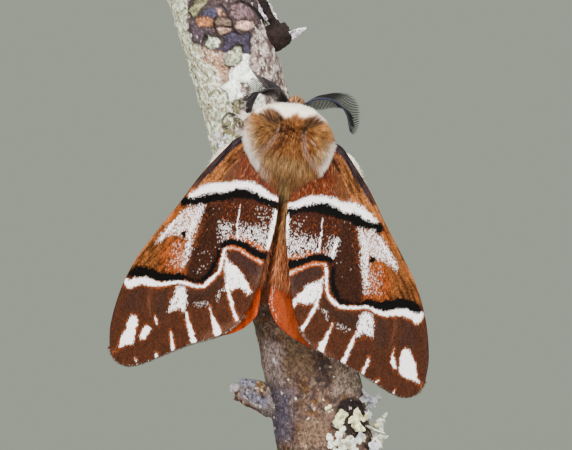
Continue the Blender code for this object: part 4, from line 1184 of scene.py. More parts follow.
@dataclass
class Wing:
    """One wing: a fine sheet with painted scales, hair on its base and a fringe along its edge."""

    side: Side
    sheet: WingSheet
    name: str
    slot: str
    cells: tuple[int, int]
    finish: WingFinish
    under: WingFinish
    hair: CoatFinish
    thickness: float = 0.32
    lift: float = 0.24
    inset: float = 0.72

    def starts(self, t: Array) -> Array:
        """How far along the wing its sheet starts, just inside the coat of the thorax."""
        centre, radii = THORAX
        shares = np.linspace(0, 0.6, 240)
        found = np.zeros_like(t)
        for i, line in enumerate(t):
            spots = self.sheet.place(shares, np.full_like(shares, line))
            clear = np.linalg.norm((spots - centre) / (radii + 0.7), axis=1) >= 1
            found[i] = shares[np.argmax(clear)]
        return found * self.inset

    def colours(self, plan: Array, s: Array, t: Array) -> dict[str, Array]:
        """The ground colour and the densities of the marks at each place of the plan."""
        raise NotImplementedError

    def build(self, effects: Effects) -> None:
        """Makes the wing's pieces."""
        along, across = self.cells
        bm = bmesh.new()
        bmesh.ops.create_grid(bm, x_segments=along, y_segments=across, size=1.0)
        mesh = mesh_from(bm, self.name)
        flat = points_of(mesh)
        t = (flat[:, 1] + 1) / 2
        lines = np.linspace(0, 1, across + 1)
        starts = np.interp(t, lines, self.starts(lines))
        s = starts + (1 - starts) * (flat[:, 0] + 1) / 2
        move_points(mesh, to_world(self.sheet.place(s, t, self.lift)))
        facing = (normals_of(mesh) @ turn_to_world(self.sheet.up())).mean()
        if facing < 0:
            mesh.flip_normals()
        plan = self.sheet.plan(s, t)
        paint(mesh, "wing_plan", np.column_stack((plan, np.zeros(len(plan)))))
        for name, values in self.colours(plan, s, t).items():
            paint(mesh, name, values)
        drawn = link(self.name, mesh)
        group = drawn.vertex_groups.new(name="thickness")
        edge = np.minimum.reduce((t * 8, (1 - t) * 8, (1 - s) * 14))
        weights = np.clip(edge, 0, 1)
        for level in range(11):
            chosen = np.nonzero(np.round(weights * 10) == level)[0]
            group.add(chosen.tolist(), level / 10, "REPLACE")
        wall = drawn.modifiers.new("membrane", "SOLIDIFY")
        wall.thickness = self.thickness * MM
        wall.offset = -1.0
        wall.vertex_group = group.name
        wall.thickness_vertex_group = 0.35
        wall.material_offset = 1
        made = final_mesh(drawn)
        made.shade_smooth()
        add_piece(f"{self.name}_sheet", made, (self.finish.material(effects), self.under.material(effects)),
                  self.slot, self.name)
        self.add_hair(effects)

    def add_hair(self, effects: Effects) -> None:
        """Adds the wing's hair and fringe."""
        raise NotImplementedError

    def hairs(self, s: Array, t: Array, heading: Array, length: Array, rise: Array, width: float,
              colours: Array, seed: int) -> Tufts:
        """Hairs rooted on the wing.

        Args:
            s, t: Where each is rooted.
            heading: The plan direction (tailward, outward) that each lies along.
            length: The length of each.
            rise: How far the tip of each stands off the sheet.
            width: The width of a hair.
            colours: The colour of each.
            seed: The seed of their small differences.

        Returns:
            The hairs.
        """
        draw = np.random.default_rng(seed)
        roots = self.sheet.place(s, t, self.lift - 0.05)
        up = self.sheet.up()
        away = np.stack((self.side.value * heading[:, 1] * math.cos(ROOF), -heading[:, 0],
                         -heading[:, 1] * math.sin(ROOF)), axis=-1)
        away = unit(away + draw.normal(0, 0.14, away.shape))
        tips = roots + away * length[:, None] + up * rise[:, None]
        bends = roots + away * (length * 0.45)[:, None] + up * (rise * 0.95)[:, None]
        shade = draw.uniform(0.7, 1.25, len(s))[:, None]
        return Tufts(roots, bends, tips, width * draw.uniform(0.7, 1.2, len(s)), colours * shade * 0.75,
                     np.clip(colours * shade * 1.15, 0, 1), np.column_stack((s, t)) * 0.99)


@dataclass
class ForeWing(Wing):
    """A forewing with the white, black and brown bands of the species."""

    base_hairs: int = 9000
    fringe_hairs: int = 1700

    def shared(self, marks: Iterable[Mark]) -> tuple[Mark, ...]:
        """The marks that both sides share, moved to where they lie on this side."""
        if self.side is Side.RIGHT:
            return tuple(marks)
        return tuple(mark if mark.points[0][0] < 0 else mark.moved(*LEFT_SHIFT) for mark in marks)

    def colours(self, plan: Array, s: Array, t: Array) -> dict[str, Array]:
        """The ground colour and the densities of the marks at each place of the plan."""
        marks = FORE_MARKS[self.side]
        seed = 3.0 + self.side.value
        shaken = plan + np.column_stack((waver(plan, 0.45, 0.11, seed), waver(plan, 0.4, 0.1, seed + 5)))
        shaken += np.column_stack((waver(plan, 0.21, 0.12, seed + 2), waver(plan, 0.23, 0.1, seed + 8)))
        ground = filled(BROWN, len(plan))
        for (colour, _), mark in zip(GROUNDS, self.shared(mark for _, mark in GROUNDS)):
            ground = blend(ground, colour, mark.density(shaken))
        bent = np.column_stack((plan @ (0.78, 0.62) * 0.14, plan @ (-0.62, 0.78)))
        streak = np.clip(waver(bent, 0.26, 2.4, seed + 11), -0.75, 0.6)
        costal = (1 - smooth(t, 0.2, 0.5)) * (1 - smooth(plan[:, 0], 8.0, 9.5))
        ground *= 1 + (streak * (0.1 + 0.75 * costal))[:, None]
        black = tuple(
            replace(mark, points=tuple((tail, out, wide * swell) for tail, out, wide in mark.points),
                    fade=mark.fade + 0.1)
            for mark, swell in zip(marks.black, BLACK_SWELL))
        over = densest(marks.over, shaken)
        rim = 0.65 * marks.line.rim(shaken, 0.06, 0.17)
        for mark in marks.white:
            rim = np.maximum(rim, 0.45 * mark.rim(shaken, 0.05, 0.2))
        rim = np.maximum(rim, 0.5 * marks.band.rim(shaken, 0.1, 0.3))
        orange = np.maximum(rim, densest(marks.orange + self.shared(EMBER), shaken))
        inner = 0.5 * np.clip((marks.orange[0].level(shaken) - 0.12) / 0.1, 0, 1)
        white = densest((marks.band, marks.line) + marks.white + marks.dust + self.shared(DUST), shaken)
        return {"ground": ground, "white": np.maximum(white, inner) * (1 - over),
                "black": np.maximum(densest(black + self.shared(SHADE), shaken), over), "orange": orange}

    def add_hair(self, effects: Effects) -> None:
        """Adds the reddish hair of the base and the fringe of the outer edge."""
        draw = np.random.default_rng(20 + self.side.value)
        count = self.base_hairs
        s, t = draw.uniform(0.03, 0.34, count), draw.uniform(0.2, 0.98, count)
        plan = self.sheet.plan(s, t)
        length = draw.uniform(0.45, 1.0, count)
        band = FORE_MARKS[self.side].band.points
        edge = table(plan[:, 1], [(out, tail - wide) for tail, out, wide in band])
        keep = (plan[:, 0] + length < edge + draw.normal(0.08, 0.1, count)) & (plan[:, 1] < 7.4)
        s, t, plan, length = s[keep], t[keep], plan[keep], length[keep]
        rust = blend(filled(srgb(126, 48, 12), len(s)), srgb(72, 30, 12), picked(draw, len(s), 0.25))
        rust = blend(rust, srgb(190, 132, 84), picked(draw, len(s), 0.12))
        rust = blend(rust, srgb(112, 66, 34), smooth(plan[:, 1], 4.6, 6.2) * 0.85)
        heading = np.column_stack((np.ones(len(s)), draw.uniform(-0.1, 0.35, len(s))))
        base = self.hairs(s, t, heading, length, draw.uniform(0.05, 0.3, len(s)), 0.075, rust,
                          self.side.value + 30)
        hair = self.hair.material(effects)
        add_piece(f"{self.name}_base_hair", base.mesh("base_hair"), (hair,), self.slot, self.name)
        rim = self.fringe_hairs
        t = np.sort(draw.uniform(0.0, 1.0, rim))
        s, end = np.full(rim, 0.992), np.ones(rim)
        step = self.sheet.plan(end, np.clip(t + 0.01, 0, 1)) - self.sheet.plan(end, np.clip(t - 0.01, 0, 1))
        heading = unit(np.column_stack((step[:, 1], -step[:, 0])))
        heading *= np.sign((heading * np.array((1.0, 0.3))).sum(axis=1, keepdims=True))
        tone = blend(filled(srgb(76, 44, 32), rim), srgb(190, 172, 158), picked(draw, rim, 0.15) * 0.8)
        fringe = self.hairs(s, t, heading, draw.uniform(0.2, 0.42, rim), draw.uniform(-0.08, 0.06, rim),
                            0.07, tone, self.side.value + 40)
        add_piece(f"{self.name}_fringe", fringe.mesh("fringe"), (hair,), self.slot, self.name)


@dataclass
class HindWing(Wing):
    """A hindwing, bright orange, with a cream front edge and soft hair along its inner edge."""

    # Colour of the painted shade along the folds.
    fold_shadow: Colour = srgb(104, 34, 10)
    inner_hairs: int = 5200
    front_hairs: int = 700

    def colours(self, plan: Array, s: Array, t: Array) -> dict[str, Array]:
        """The ground colour and the densities of the marks at each place of the plan."""
        ground = filled(HIND_BRIGHT[self.side], len(plan))
        # Painted shade: streaks darkened along the folds of the hindwing.
        fold_shading = waver(plan * np.array((0.22, 1.0)), 0.5, 1.0, 9.0 + self.side.value)
        ground = blend(ground, self.fold_shadow, smooth(fold_shading, -0.15, 0.3) * 0.8)
        root = Patch(((-8, -2), (-8, 9), (2, 9), (6.8, 3.0), (7.4, -1.0)), 1.6, 0.85)
        ground = blend(ground, srgb(124, 62, 28), root.density(plan))
        cream = Stroke(((-6.4, 7.0, 0.7), (-5.6, 8.8, 0.75), (-4.4, 9.7, 0.7), (-2.6, 10.4, 0.5)), 0.4)
        ground = blend(ground, srgb(240, 228, 205), cream.density(plan))
        # Painted shadow: a dark spot on the hindwing by the forewing's inner edge.
        gap_shadow = Stroke(((6.1, 1.0, 0.35), (6.7, 1.6, 0.25)), 0.7, 0.7)
        ground = blend(ground, srgb(84, 44, 26), gap_shadow.density(plan))
        line = Stroke(((7.0, 0.5, 0.2), (7.4, 5.0, 0.25), (8.0, 9.0, 0.25), (8.4, 12.8, 0.25)), 0.4)
        empty = np.zeros(len(plan))
        # The pale scales along the inner edge of the right hindwing are a painted highlight.
        edge = Stroke(((7.2, 0.5, 0.3), (8.2, 0.25, 0.2), (9.6, 0.4, 0.14), (11.0, 1.3, 0.08)), 0.4, 0.2)
        pale = densest((edge,), plan) if self.side is Side.RIGHT else empty
        return {"ground": ground, "white": np.maximum(pale, 0.12 * root.density(plan)),
                "black": 0.9 * line.density(plan) * smooth(plan[:, 1], 3.0, 4.5), "orange": empty + 0.25}

    def add_hair(self, effects: Effects) -> None:
        """Adds soft hair over the inner half and along the front edge of the base."""
        draw = np.random.default_rng(50 + self.side.value)
        count = self.inner_hairs
        s, t = draw.uniform(0.04, 0.72, count), 1 - draw.uniform(0.0, 0.45, count) ** 1.3
        plan = self.sheet.plan(s, t)
        keep = (plan[:, 0] > -1.5) & (plan[:, 0] < 6.5 + draw.uniform(0, 3.0, count))
        s, t, plan = s[keep], t[keep], plan[keep]
        tone = blend(filled(srgb(150, 74, 34), len(s)), srgb(140, 102, 54), 1 - smooth(plan[:, 0], 1.0,
                                                                                       3.6))
        tone = blend(tone, srgb(52, 26, 14), picked(draw, len(s), 0.3) * 0.85)
        tone = blend(tone, srgb(212, 146, 100), picked(draw, len(s), 0.25) * 0.7)
        heading = np.column_stack((np.ones(len(s)), draw.uniform(-0.25, 0.12, len(s))))
        soft = self.hairs(s, t, heading, draw.uniform(0.9, 1.9, len(s)), draw.uniform(0.05, 0.55, len(s)),
                          0.09, tone, self.side.value + 60)
        edge = self.front_hairs
        s2, t2 = draw.uniform(0.2, 0.44, edge), draw.uniform(0.0, 0.05, edge)
        cream = filled(srgb(238, 226, 205), edge)
        heading = np.column_stack((draw.uniform(0.1, 0.8, edge), np.full(edge, 0.6)))
        front = self.hairs(s2, t2, heading, draw.uniform(0.3, 0.7, edge), draw.uniform(-0.1, 0.1, edge),
                           0.06, cream, self.side.value + 70)
        hair = self.hair.material(effects)
        add_piece(f"{self.name}_inner_hair", soft.mesh("inner_hair"), (hair,), self.slot, self.name)
        add_piece(f"{self.name}_front_hair", front.mesh("front_hair"), (hair,), self.slot, self.name)


GOLD = srgb(148, 88, 38)
DARK = srgb(30, 15, 7)
SPOT = srgb(46, 24, 11)
CREAM = srgb(252, 232, 210)
WHITE = srgb(254, 242, 236)
LILAC = srgb(190, 154, 140)
RUFOUS = srgb(172, 120, 74)
# Colour of the painted shade on the body's underside.
UNDERSIDE_SHADE = srgb(88, 50, 28)
THORAX_OUTLINE = Patch(((0.27, 10.64), (1.84, 10.34), (3.3, 9.31), (4.27, 8.11), (4.7, 7.15), (4.9, 6.8),
                        (4.66, 5.92), (4.23, 4.54), (3.7, 3.5), (2.4, 2.7), (1.3, 1.5), (0.75, 0.5),
                        (0.4, -0.4), (0.1, -0.5), (-0.1, 0.6), (-0.72, 1.2), (-2.21, 2.5), (-3.41, 3.84),
                        (-4.41, 5.24), (-5.0, 6.9), (-4.73, 7.9), (-4.5, 8.6), (-3.86, 9.4), (-2.41, 10.25),
                        (-1.0, 10.45)), 0.3)
HEAD_OUTLINE = Patch((
    (-1.0, 8.5), (-0.75, 10.2), (-0.55, 10.9), (-0.3, 11.25), (0.1, 11.45), (0.5, 11.35), (0.85, 11.1),
    (1.0, 10.6), (1.2, 10.2), (1.4, 8.5)), 0.3)
COLLAR = Patch((
    (-5.0, 12.0), (-4.2, 9.2), (-3.5, 9.0), (-2.9, 9.5), (-2.2, 9.75), (-1.4, 9.5), (-0.9, 9.0),
    (-0.3, 9.0), (0.05, 9.3), (0.45, 9.5), (0.75, 9.25), (1.1, 9.1), (1.7, 9.45), (2.4, 9.6), (3.0, 9.2),
    (3.7, 8.8), (5.0, 12.0)), 0.3)
THORAX_TONES: tuple[tuple[Colour, Mark], ...] = (
    (srgb(128, 88, 44), Patch(((-3.7, 9.2), (-1.2, 9.2), (-1.3, 6.4), (-2.6, 5.4), (-3.6, 6.2)), 0.9, 0.8)),
    (srgb(182, 124, 62), Patch(((2.3, 9.0), (3.6, 8.7), (4.5, 7.2), (4.2, 5.6), (2.8, 5.4)), 0.7, 0.7)),
    (srgb(96, 46, 18), Stroke((
        (-0.6, 8.8, 0.3), (-0.55, 7.6, 0.42), (-0.8, 6.2, 0.36), (-1.3, 5.2, 0.25)), 0.6, 0.8)),
    (srgb(118, 66, 26), Stroke(((1.15, 8.0, 0.14), (1.0, 6.6, 0.16), (1.6, 4.8, 0.2), (2.2, 3.9, 0.14)),
                               0.4, 0.7)),
    (srgb(178, 138, 92), Patch((
        (-3.1, 4.5), (-2.0, 5.0), (0.0, 4.8), (1.8, 4.5), (2.7, 3.7), (1.6, 2.9), (0.0, 3.0),
        (-1.8, 3.1)), 0.9, 0.75)),
    (srgb(212, 176, 136), Stroke((
        (-4.2, 8.2, 0.2), (-4.2, 7.2, 0.5), (-3.9, 6.1, 0.6), (-3.3, 5.0, 0.6),
        (-2.8, 4.3, 0.45)), 0.7, 0.9)),
    (srgb(214, 176, 134), Patch((
        (3.6, 6.9), (4.6, 6.9), (4.4, 5.0), (3.4, 4.0), (2.5, 4.6), (3.0, 5.6)), 0.8, 0.75)),
    (srgb(78, 62, 42), Stroke(((-1.0, 2.9, 0.15), (-0.2, 2.5, 0.35), (0.7, 2.5, 0.3), (1.3, 2.3, 0.2)), 0.5,
                              0.8)),
    (srgb(170, 134, 84), Stroke(((0.1, 1.7, 0.5), (0.25, 0.4, 0.4), (0.25, -0.6, 0.3)), 0.5, 0.85)),
    (srgb(226, 196, 180), Stroke(((-2.8, 3.6, 0.35), (-1.7, 2.7, 0.25)), 0.7, 0.8)),
    (LILAC, Stroke((
        (-1.3, 8.0, 0.1), (-1.3, 7.3, 0.16), (-1.6, 6.5, 0.18), (-2.2, 5.7, 0.24),
        (-3.0, 4.9, 0.3)), 0.4, 0.65)),
    (LILAC, Stroke((
        (1.6, 8.1, 0.12), (1.4, 7.3, 0.18), (1.55, 6.5, 0.2), (1.75, 5.7, 0.2), (2.3, 4.9, 0.22),
        (3.0, 4.1, 0.25)), 0.35, 0.75)),
    (srgb(226, 196, 176), Stroke(((2.1, 6.9, 0.06), (2.6, 6.5, 0.1)), 0.15, 0.9)),
    (WHITE, Stroke(((-4.9, 7.3, 0.28), (-4.5, 6.3, 0.3), (-4.0, 5.2, 0.27), (-3.5, 4.4, 0.24),
                    (-2.9, 3.6, 0.15)), 0.7)),
    (WHITE, Stroke((
        (4.7, 7.0, 0.2), (4.5, 6.1, 0.23), (4.25, 5.2, 0.23), (3.9, 4.4, 0.22), (3.6, 3.8, 0.15)), 0.6)),
)
SPOTS = (
    Patch(((-3.4, 8.9), (-2.5, 9.7), (-1.5, 9.7), (-0.8, 9.0), (-0.9, 8.3), (-1.8, 8.1), (-2.6, 8.3)), 0.4),
    Patch(((1.1, 8.2), (1.3, 9.0), (2.2, 9.6), (3.6, 9.2), (2.8, 8.5), (1.9, 8.1), (1.5, 7.3), (1.2, 7.6)),
          0.3),
)


class BodyPaint:
    """The colours of the body, the same for its skin and its coat."""

    def thorax(self, places: Array) -> Array:
        """The coat's colour over the thorax at places of the moth's frame."""
        flat = places[:, :2]
        strands = waver(places * np.array((1.0, 0.35, 1.0)), 0.16, 1.0, 7.0)
        made = filled(GOLD, len(places))
        for colour, mark in THORAX_TONES[:9]:
            made = blend(made, colour, mark.density(flat))
        made = blend(made, srgb(78, 40, 16), smooth(strands, 0.08, 0.3) * 0.55)
        made = blend(made, srgb(200, 148, 88), smooth(-strands, 0.1, 0.3) * 0.5)
        patches = waver(places * np.array((1.0, 0.35, 1.0)), 0.2, 1.0, 17.0)
        broken = 0.35 + 0.65 * smooth(patches, -0.12, 0.08)
        for index, (colour, mark) in enumerate(THORAX_TONES[9:]):
            made = blend(made, colour, mark.density(flat) * (broken if index < 4 else 1.0))
        made = blend(made, SPOT, densest(SPOTS, flat) * (0.7 + 0.3 * smooth(strands, -0.1, 0.05)))
        made = blend(made, CREAM, COLLAR.density(flat))
        # Painted shade: darker towards the underside.
        return blend(made, UNDERSIDE_SHADE, smooth(-places[:, 2] - 3.6, 0.0, 1.8) * 0.75)

    def head(self, places: Array) -> Array:
        """The coat's colour over the head."""
        nape = smooth(10.95 - places[:, 1], 0.0, 0.5) * smooth(waver(places, 0.2, 1.0, 4.0), -0.15, 0.1)
        made = blend(filled(RUFOUS, len(places)), DARK, nape * 0.9)
        strands = waver(places * np.array((1.0, 0.3, 1.0)), 0.15, 1.0, 31.0)
        made = blend(made, srgb(56, 32, 18), smooth(strands, -0.04, 0.08) * 0.85)
        # Painted shade: darker towards the underside.
        return blend(made, UNDERSIDE_SHADE, smooth(-places[:, 2] - 4.0, 0.0, 1.2) * 0.7)

    def abdomen(self, places: Array) -> Array:
        """The coat's colour over the abdomen."""
        rings = smooth(np.abs(((places[:, 1] + 8.0) / 1.35) % 1.0 - 0.5), 0.32, 0.5)
        made = blend(filled(srgb(136, 66, 28), len(places)), srgb(190, 124, 76), rings * 0.55)
        # Painted shade: darker towards the underside.
        return blend(made, UNDERSIDE_SHADE, smooth(-places[:, 2] - 4.4, 0.0, 1.4) * 0.5)

    def skin(self, places: Array) -> Array:
        """The skin's colour anywhere on the body, darker than the coat over it."""
        made = self.thorax(places)
        made = np.where((places[:, 1] > 9.3)[:, None], self.head(places), made)
        made = np.where((places[:, 1] < 2.0)[:, None], self.abdomen(places), made)
        return made * 0.45


def ellipsoid_roots(core: tuple[Array, Array], y: Array, turn: Array) -> tuple[Array, Array]:
    """Places on an ellipsoid and the directions out of it.

    Args:
        core: Its centre and radii.
        y: How far along it each place is.
        turn: How far round it from straight up, in radians.

    Returns:
        The places and the outward directions.
    """
    centre, radii = core
    across = np.sqrt(np.clip(1 - ((y - centre[1]) / radii[1]) ** 2, 0.0, 1.0))
    roots = np.column_stack((centre[0] + radii[0] * across * np.sin(turn), y,
                             centre[2] + radii[2] * across * np.cos(turn)))
    return roots, unit((roots - centre) / radii**2)


@dataclass
class BodySkin:
    """The one skin under the coat of the head, thorax and abdomen."""

    paint_box: BodyPaint
    grain: float = 0.16
    shrink: float = 0.97

    def build(self, effects: Effects) -> None:
        """Makes the skin."""
        bm = bmesh.new()
        for centre, radii in (THORAX, HEAD, ABDOMEN):
            made = bmesh.ops.create_uvsphere(bm, u_segments=48, v_segments=32, radius=self.shrink)
            bmesh.ops.rotate(bm, verts=made["verts"], matrix=Matrix.Rotation(math.pi / 2, 3, "X"))
            bmesh.ops.scale(bm, vec=radii, verts=made["verts"])
            bmesh.ops.translate(bm, vec=centre, verts=made["verts"])
        drawn = link("body_skin", mesh_from(bm, "body_skin"))
        fuse = drawn.modifiers.new("fuse", "REMESH")
        fuse.mode = "VOXEL"
        fuse.voxel_size = self.grain
        soften = drawn.modifiers.new("soften", "SMOOTH")
        soften.factor = 0.5
        soften.iterations = 6
        made = final_mesh(drawn)
        places = points_of(made)
        move_points(made, to_world(places))
        paint(made, "coat", self.paint_box.skin(places))
        made.shade_smooth()
        skin = CoatFinish("skin_under_coat", roughness=0.75).material(effects)
        add_piece("body_skin", made, (skin,), "thorax_fur", "thorax", "head", "abdomen")


@dataclass
class Coat:
    """The hair of one part of the body, whose lean and length follow tables along it.

    Hairs gather in clumps, and crowd is the share of them that grow along the front of the thorax.
    """

    name: str
    node: str
    slot: str
    core: tuple[Array, Array]
    count: int
    span: tuple[float, float]
    lean: tuple[Point, ...]
    length: tuple[Point, ...]
    width: float
    colour: Callable[[Array], Array]
    seed: int
    pieces: int = 1
    back_turn: tuple[Point, ...] = ((-FAR, 180.0),)
    under_length: float = 0.6
    outline: Patch | None = None
    clump: int = 9
    gather: float = 0.4
    crowd: float = 0.0
    crowd_y: float = 8.15
    side_turn: float = 128.0
    wing_gap: float = 0.42
    trim_steps: int = 14
    trim_share: float = 0.93

    def grow(self) -> Tufts:
        """Lays out every hair."""
        draw = np.random.default_rng(self.seed)
        y = draw.uniform(*self.span, self.count)
        turn = draw.uniform(-math.pi, math.pi, self.count)
        crowd = (draw.random(self.count) < self.crowd) & (np.abs(turn) < 1.2)
        y = np.where(crowd, draw.normal(self.crowd_y, 0.2, self.count), y)
        bare = np.abs(np.degrees(turn)) > table(y, self.back_turn)
        keep = ~(bare & (np.abs(np.degrees(turn)) < self.side_turn))
        y, turn = y[keep], turn[keep]
        roots, out = ellipsoid_roots(self.core, y, turn)
        count = len(y)
        lean = np.radians(table(y, self.lean) + draw.normal(0, 7, count))
        tail = np.column_stack((draw.normal(0, 0.16, count), -np.ones(count), np.zeros(count)))
        lie = unit(tail - out * (tail * out).sum(axis=1, keepdims=True))
        length = table(y, self.length) * draw.uniform(0.72, 1.08, count)
        length *= 1 - (1 - self.under_length) * smooth(np.abs(turn), 1.9, 2.4)
        along = unit(out * np.cos(lean)[:, None] + lie * np.sin(lean)[:, None]
                     + draw.normal(0, 0.07, (count, 3)))
        sunk = roots - out * 0.25
        tips = roots + along * length[:, None] - out * (0.16 * length * np.abs(np.sin(lean)))[:, None]
        bends = roots + unit(along + out * 0.5) * (length * 0.5)[:, None]
        owner = self.clumps(roots, draw)
        tips += (tips[owner] - tips) * self.gather
        tips, bends = self.over_wings(roots, tips, bends)
        self.trim(roots, tips, bends)
        colours = self.colour(roots + (tips - roots) * 0.8)
        pale = smooth(colours.mean(axis=1), 0.35, 0.65)
        swing = 1 - 0.75 * pale
        shade = np.exp(draw.normal(0, 0.27, count) * swing + draw.normal(0, 0.27, count)[owner] * swing)
        chance = draw.random(count)
        shade *= np.where(chance < 0.12, 1 - 0.6 * swing, np.where(chance > 0.92, 1 + 0.45 * swing, 1.0))
        shade = shade[:, None]
        # Painted shade deep in the coat: the roots are darker than the tips, less so for pale hairs and for
        # hairs that stand upright.
        depth = np.maximum(0.36 + 0.5 * pale, 0.78 * np.exp(-((lean / 0.45) ** 2)))[:, None]
        unwrap = np.column_stack(((turn + math.pi) / (2 * math.pi),
                                  (y - self.span[0]) / (self.span[1] - self.span[0]))) * 0.99
        return Tufts(sunk, bends, tips, self.width * draw.uniform(0.65, 1.25, count),
                     colours * shade * depth, np.clip(colours * shade * (0.9 + 0.25 * pale)[:, None], 0, 1),
                     unwrap)

    def clumps(self, roots: Array, draw: np.random.Generator) -> Array:
        """For each hair, the nearest of a few hairs that the others lean together with."""
        seeds = draw.choice(len(roots), len(roots) // self.clump, replace=False)
        tree = KDTree(len(seeds))
        for index in seeds:
            tree.insert(Vector(roots[index]), int(index))
        tree.balance()
        return np.array([tree.find(Vector(root))[1] for root in roots])

    def trim(self, roots: Array, tips: Array, bends: Array) -> None:
        """Shortens the hairs that reach over the coat's outline as the photo shows it."""
        if self.outline is None:
            return
        for _ in range(self.trim_steps):
            over = self.outline.level(tips[:, :2]) < np.abs(roots[:, 2] * 7.77 % 0.26) - 0.15
            for spots in (tips, bends):
                spots[over] = roots[over] + (spots[over] - roots[over]) * self.trim_share

    def over_wings(self, roots: Array, tips: Array, bends: Array) -> tuple[Array, Array]:
        """Lifts the hairs that grow above the wings so that they lie on them."""
        up_z, up_x = math.cos(ROOF), math.sin(ROOF)
        above = roots[:, 2] * up_z + np.abs(roots[:, 0]) * up_x > -0.2
        for spots in (tips, bends):
            height = spots[:, 2] * up_z + np.abs(spots[:, 0]) * up_x
            lift = np.where(above & (spots[:, 1] < 7.5), np.maximum(self.wing_gap - height, 0), 0)
            spots += lift[:, None] * np.column_stack((np.sign(spots[:, 0]) * up_x, np.zeros(len(spots)),
                                                      np.full(len(spots), up_z)))
        return tips, bends

    def build(self, effects: Effects) -> None:
        """Makes the coat's pieces."""
        hairs = self.grow()
        hair = CoatFinish(self.name).material(effects)
        order = np.arange(len(hairs.roots))
        for part in range(self.pieces):
            name = self.name if self.pieces == 1 else f"{self.name}_{part + 1}"
            mesh = hairs.chosen(order % self.pieces == part).mesh(name)
            add_piece(name, mesh, (hair,), self.slot, self.node)


def body_coats(paint_box: BodyPaint) -> tuple[Coat, ...]:
    """The coats of the thorax, head and abdomen."""
    thorax = Coat(
        "thorax_coat", "thorax", "thorax_fur", THORAX, count=52000, span=(1.85, 9.3),
        lean=((1.8, 62.0), (3.0, 62.0), (4.0, 58.0), (5.0, 53.0), (6.0, 47.0), (6.8, 42.0), (7.4, 36.0),
              (7.8, 28.0), (8.1, 12.0), (8.35, -20.0), (8.6, -50.0), (9.3, -64.0)),
        length=((1.8, 3.0), (3.0, 3.4), (3.8, 3.4), (4.6, 2.8), (5.4, 2.2), (6.2, 1.95), (7.0, 1.95),
                (7.8, 2.05), (8.5, 2.3), (9.3, 2.1)),
        width=0.085, colour=paint_box.thorax, seed=3, pieces=4,
        back_turn=((1.8, 50.0), (3.8, 58.0), (4.6, 78.0), (5.4, 92.0), (6.2, 104.0), (7.0, 120.0),
                   (9.3, 128.0)),
        outline=THORAX_OUTLINE, crowd=0.2)
    head = Coat(
        "head_coat", "head", "head_fur", HEAD, count=3600, span=(8.5, 10.98),
        lean=((8.5, -50.0), (9.8, -52.0), (10.45, -44.0), (10.9, -30.0)),
        length=((8.5, 0.9), (9.8, 0.95), (10.9, 0.8)), width=0.1, colour=paint_box.head, seed=4,
        under_length=0.8, outline=HEAD_OUTLINE)
    abdomen = Coat(
        "abdomen_coat", "abdomen", "abdomen_fur", ABDOMEN, count=15000, span=(-9.05, 2.4),
        lean=((-9.1, 30.0), (-8.0, 48.0), (-6.7, 62.0), (2.4, 68.0)),
        length=((-9.1, 1.3), (-6.7, 1.5), (2.4, 1.5)), width=0.1, colour=paint_box.abdomen, seed=5,
        under_length=1.0)
    return thorax, head, abdomen


@dataclass
class Eye:
    """A compound eye at the side of the head."""

    side: Side

    def centre(self) -> Array:
        """The eye's middle in the moth's frame."""
        return HEAD[0] + EYE_OFFSET * np.array((self.side.value, 1, 1))

    def build(self, effects: Effects) -> None:
        """Makes the eye."""
        bm = bmesh.new()
        bmesh.ops.create_icosphere(bm, subdivisions=5, radius=EYE_RADIUS * MM)
        bmesh.ops.translate(bm, vec=Vector(to_world(self.centre())), verts=bm.verts)
        mesh = mesh_from(bm, "eye")
        mesh.shade_smooth()
        node = f"eye_{self.side.label}"
        add_piece(f"{node}_facets", mesh, (EyeFinish().material(effects),), "eye_dark", node)


@dataclass
class Antenna:
    """A feeler: a curved stem with two close rows of fine comb hairs."""

    side: Side
    radii: tuple[float, ...] = (0.11, 0.1, 0.085, 0.07, 0.05)
    teeth: int = 50
    drop: float = 0.3

    def line(self, points: Sequence[Point]) -> Curve:
        """A line at the height of the feelers, from its places seen from above."""
        return Curve([(*point, -2.75 if index == 0 else -2.45) for index, point in enumerate(points)])

    def comb(self) -> Tufts:
        """Lays out both rows of comb hairs."""
        draw = np.random.default_rng(80 + self.side.value)
        stem, parts = self.line(STEMS[self.side]), []
        shares = (np.arange(self.teeth) + 1.0) / (self.teeth + 0.4)
        for ends in (self.line(OUTER_TIPS[self.side]), self.line(INNER_TIPS[self.side])):
            roots = stem.at(shares)
            away = ends.at(shares) - roots
            reach = np.linalg.norm(away[:, :2], axis=1)
            away[:, 2] = -self.drop - 0.25 * reach
            away *= draw.uniform(0.96, 1.03, self.teeth)[:, None]
            heading = unit(stem.at(shares + 0.02) - stem.at(shares - 0.02))
            bends = roots + away * 0.5 - heading * (0.09 * reach)[:, None]
            parts.append((roots, bends, roots + away, shares))
        roots, bends, tips, shares = (np.concatenate([part[i] for part in parts]) for i in range(4))
        count = len(roots)
        tone = filled(srgb(26, 23, 23), count) * draw.uniform(0.6, 1.6, count)[:, None]
        unwrap = np.column_stack((shares, np.repeat((0.25, 0.75), self.teeth))) * 0.99
        return Tufts(roots, bends, tips, np.full(count, 0.14), tone * 0.7, tone, unwrap, rings=5,
                     flatness=0.9, fullness=0.1)

    def build(self, effects: Effects) -> None:
        """Makes the stem and its combs."""
        name = f"antenna_{self.side.label}"
        shares = np.linspace(0, 1, 56)
        line = to_world(self.line(STEMS[self.side]).at(shares))
        stem = tube(f"{name}_stem", line, table(shares, spaced(self.radii)), roundness=3)
        # The right stem is painted bluish, a painted highlight; the left stem keeps the plain dark colour.
        tone = srgb(20, 23, 44) if self.side is Side.RIGHT else srgb(30, 24, 26)
        paint(stem, "coat", filled(tone, len(stem.vertices)))
        finish = CoatFinish("antenna_stem", roughness=0.4)
        add_piece(f"{name}_stem", stem, (finish.material(effects),), "antenna_dark", name)
        combs = self.comb().mesh("comb")
        finish = CoatFinish("antenna_comb", sheen=0.0)
        add_piece(f"{name}_comb", combs, (finish.material(effects),), "antenna_dark", name)


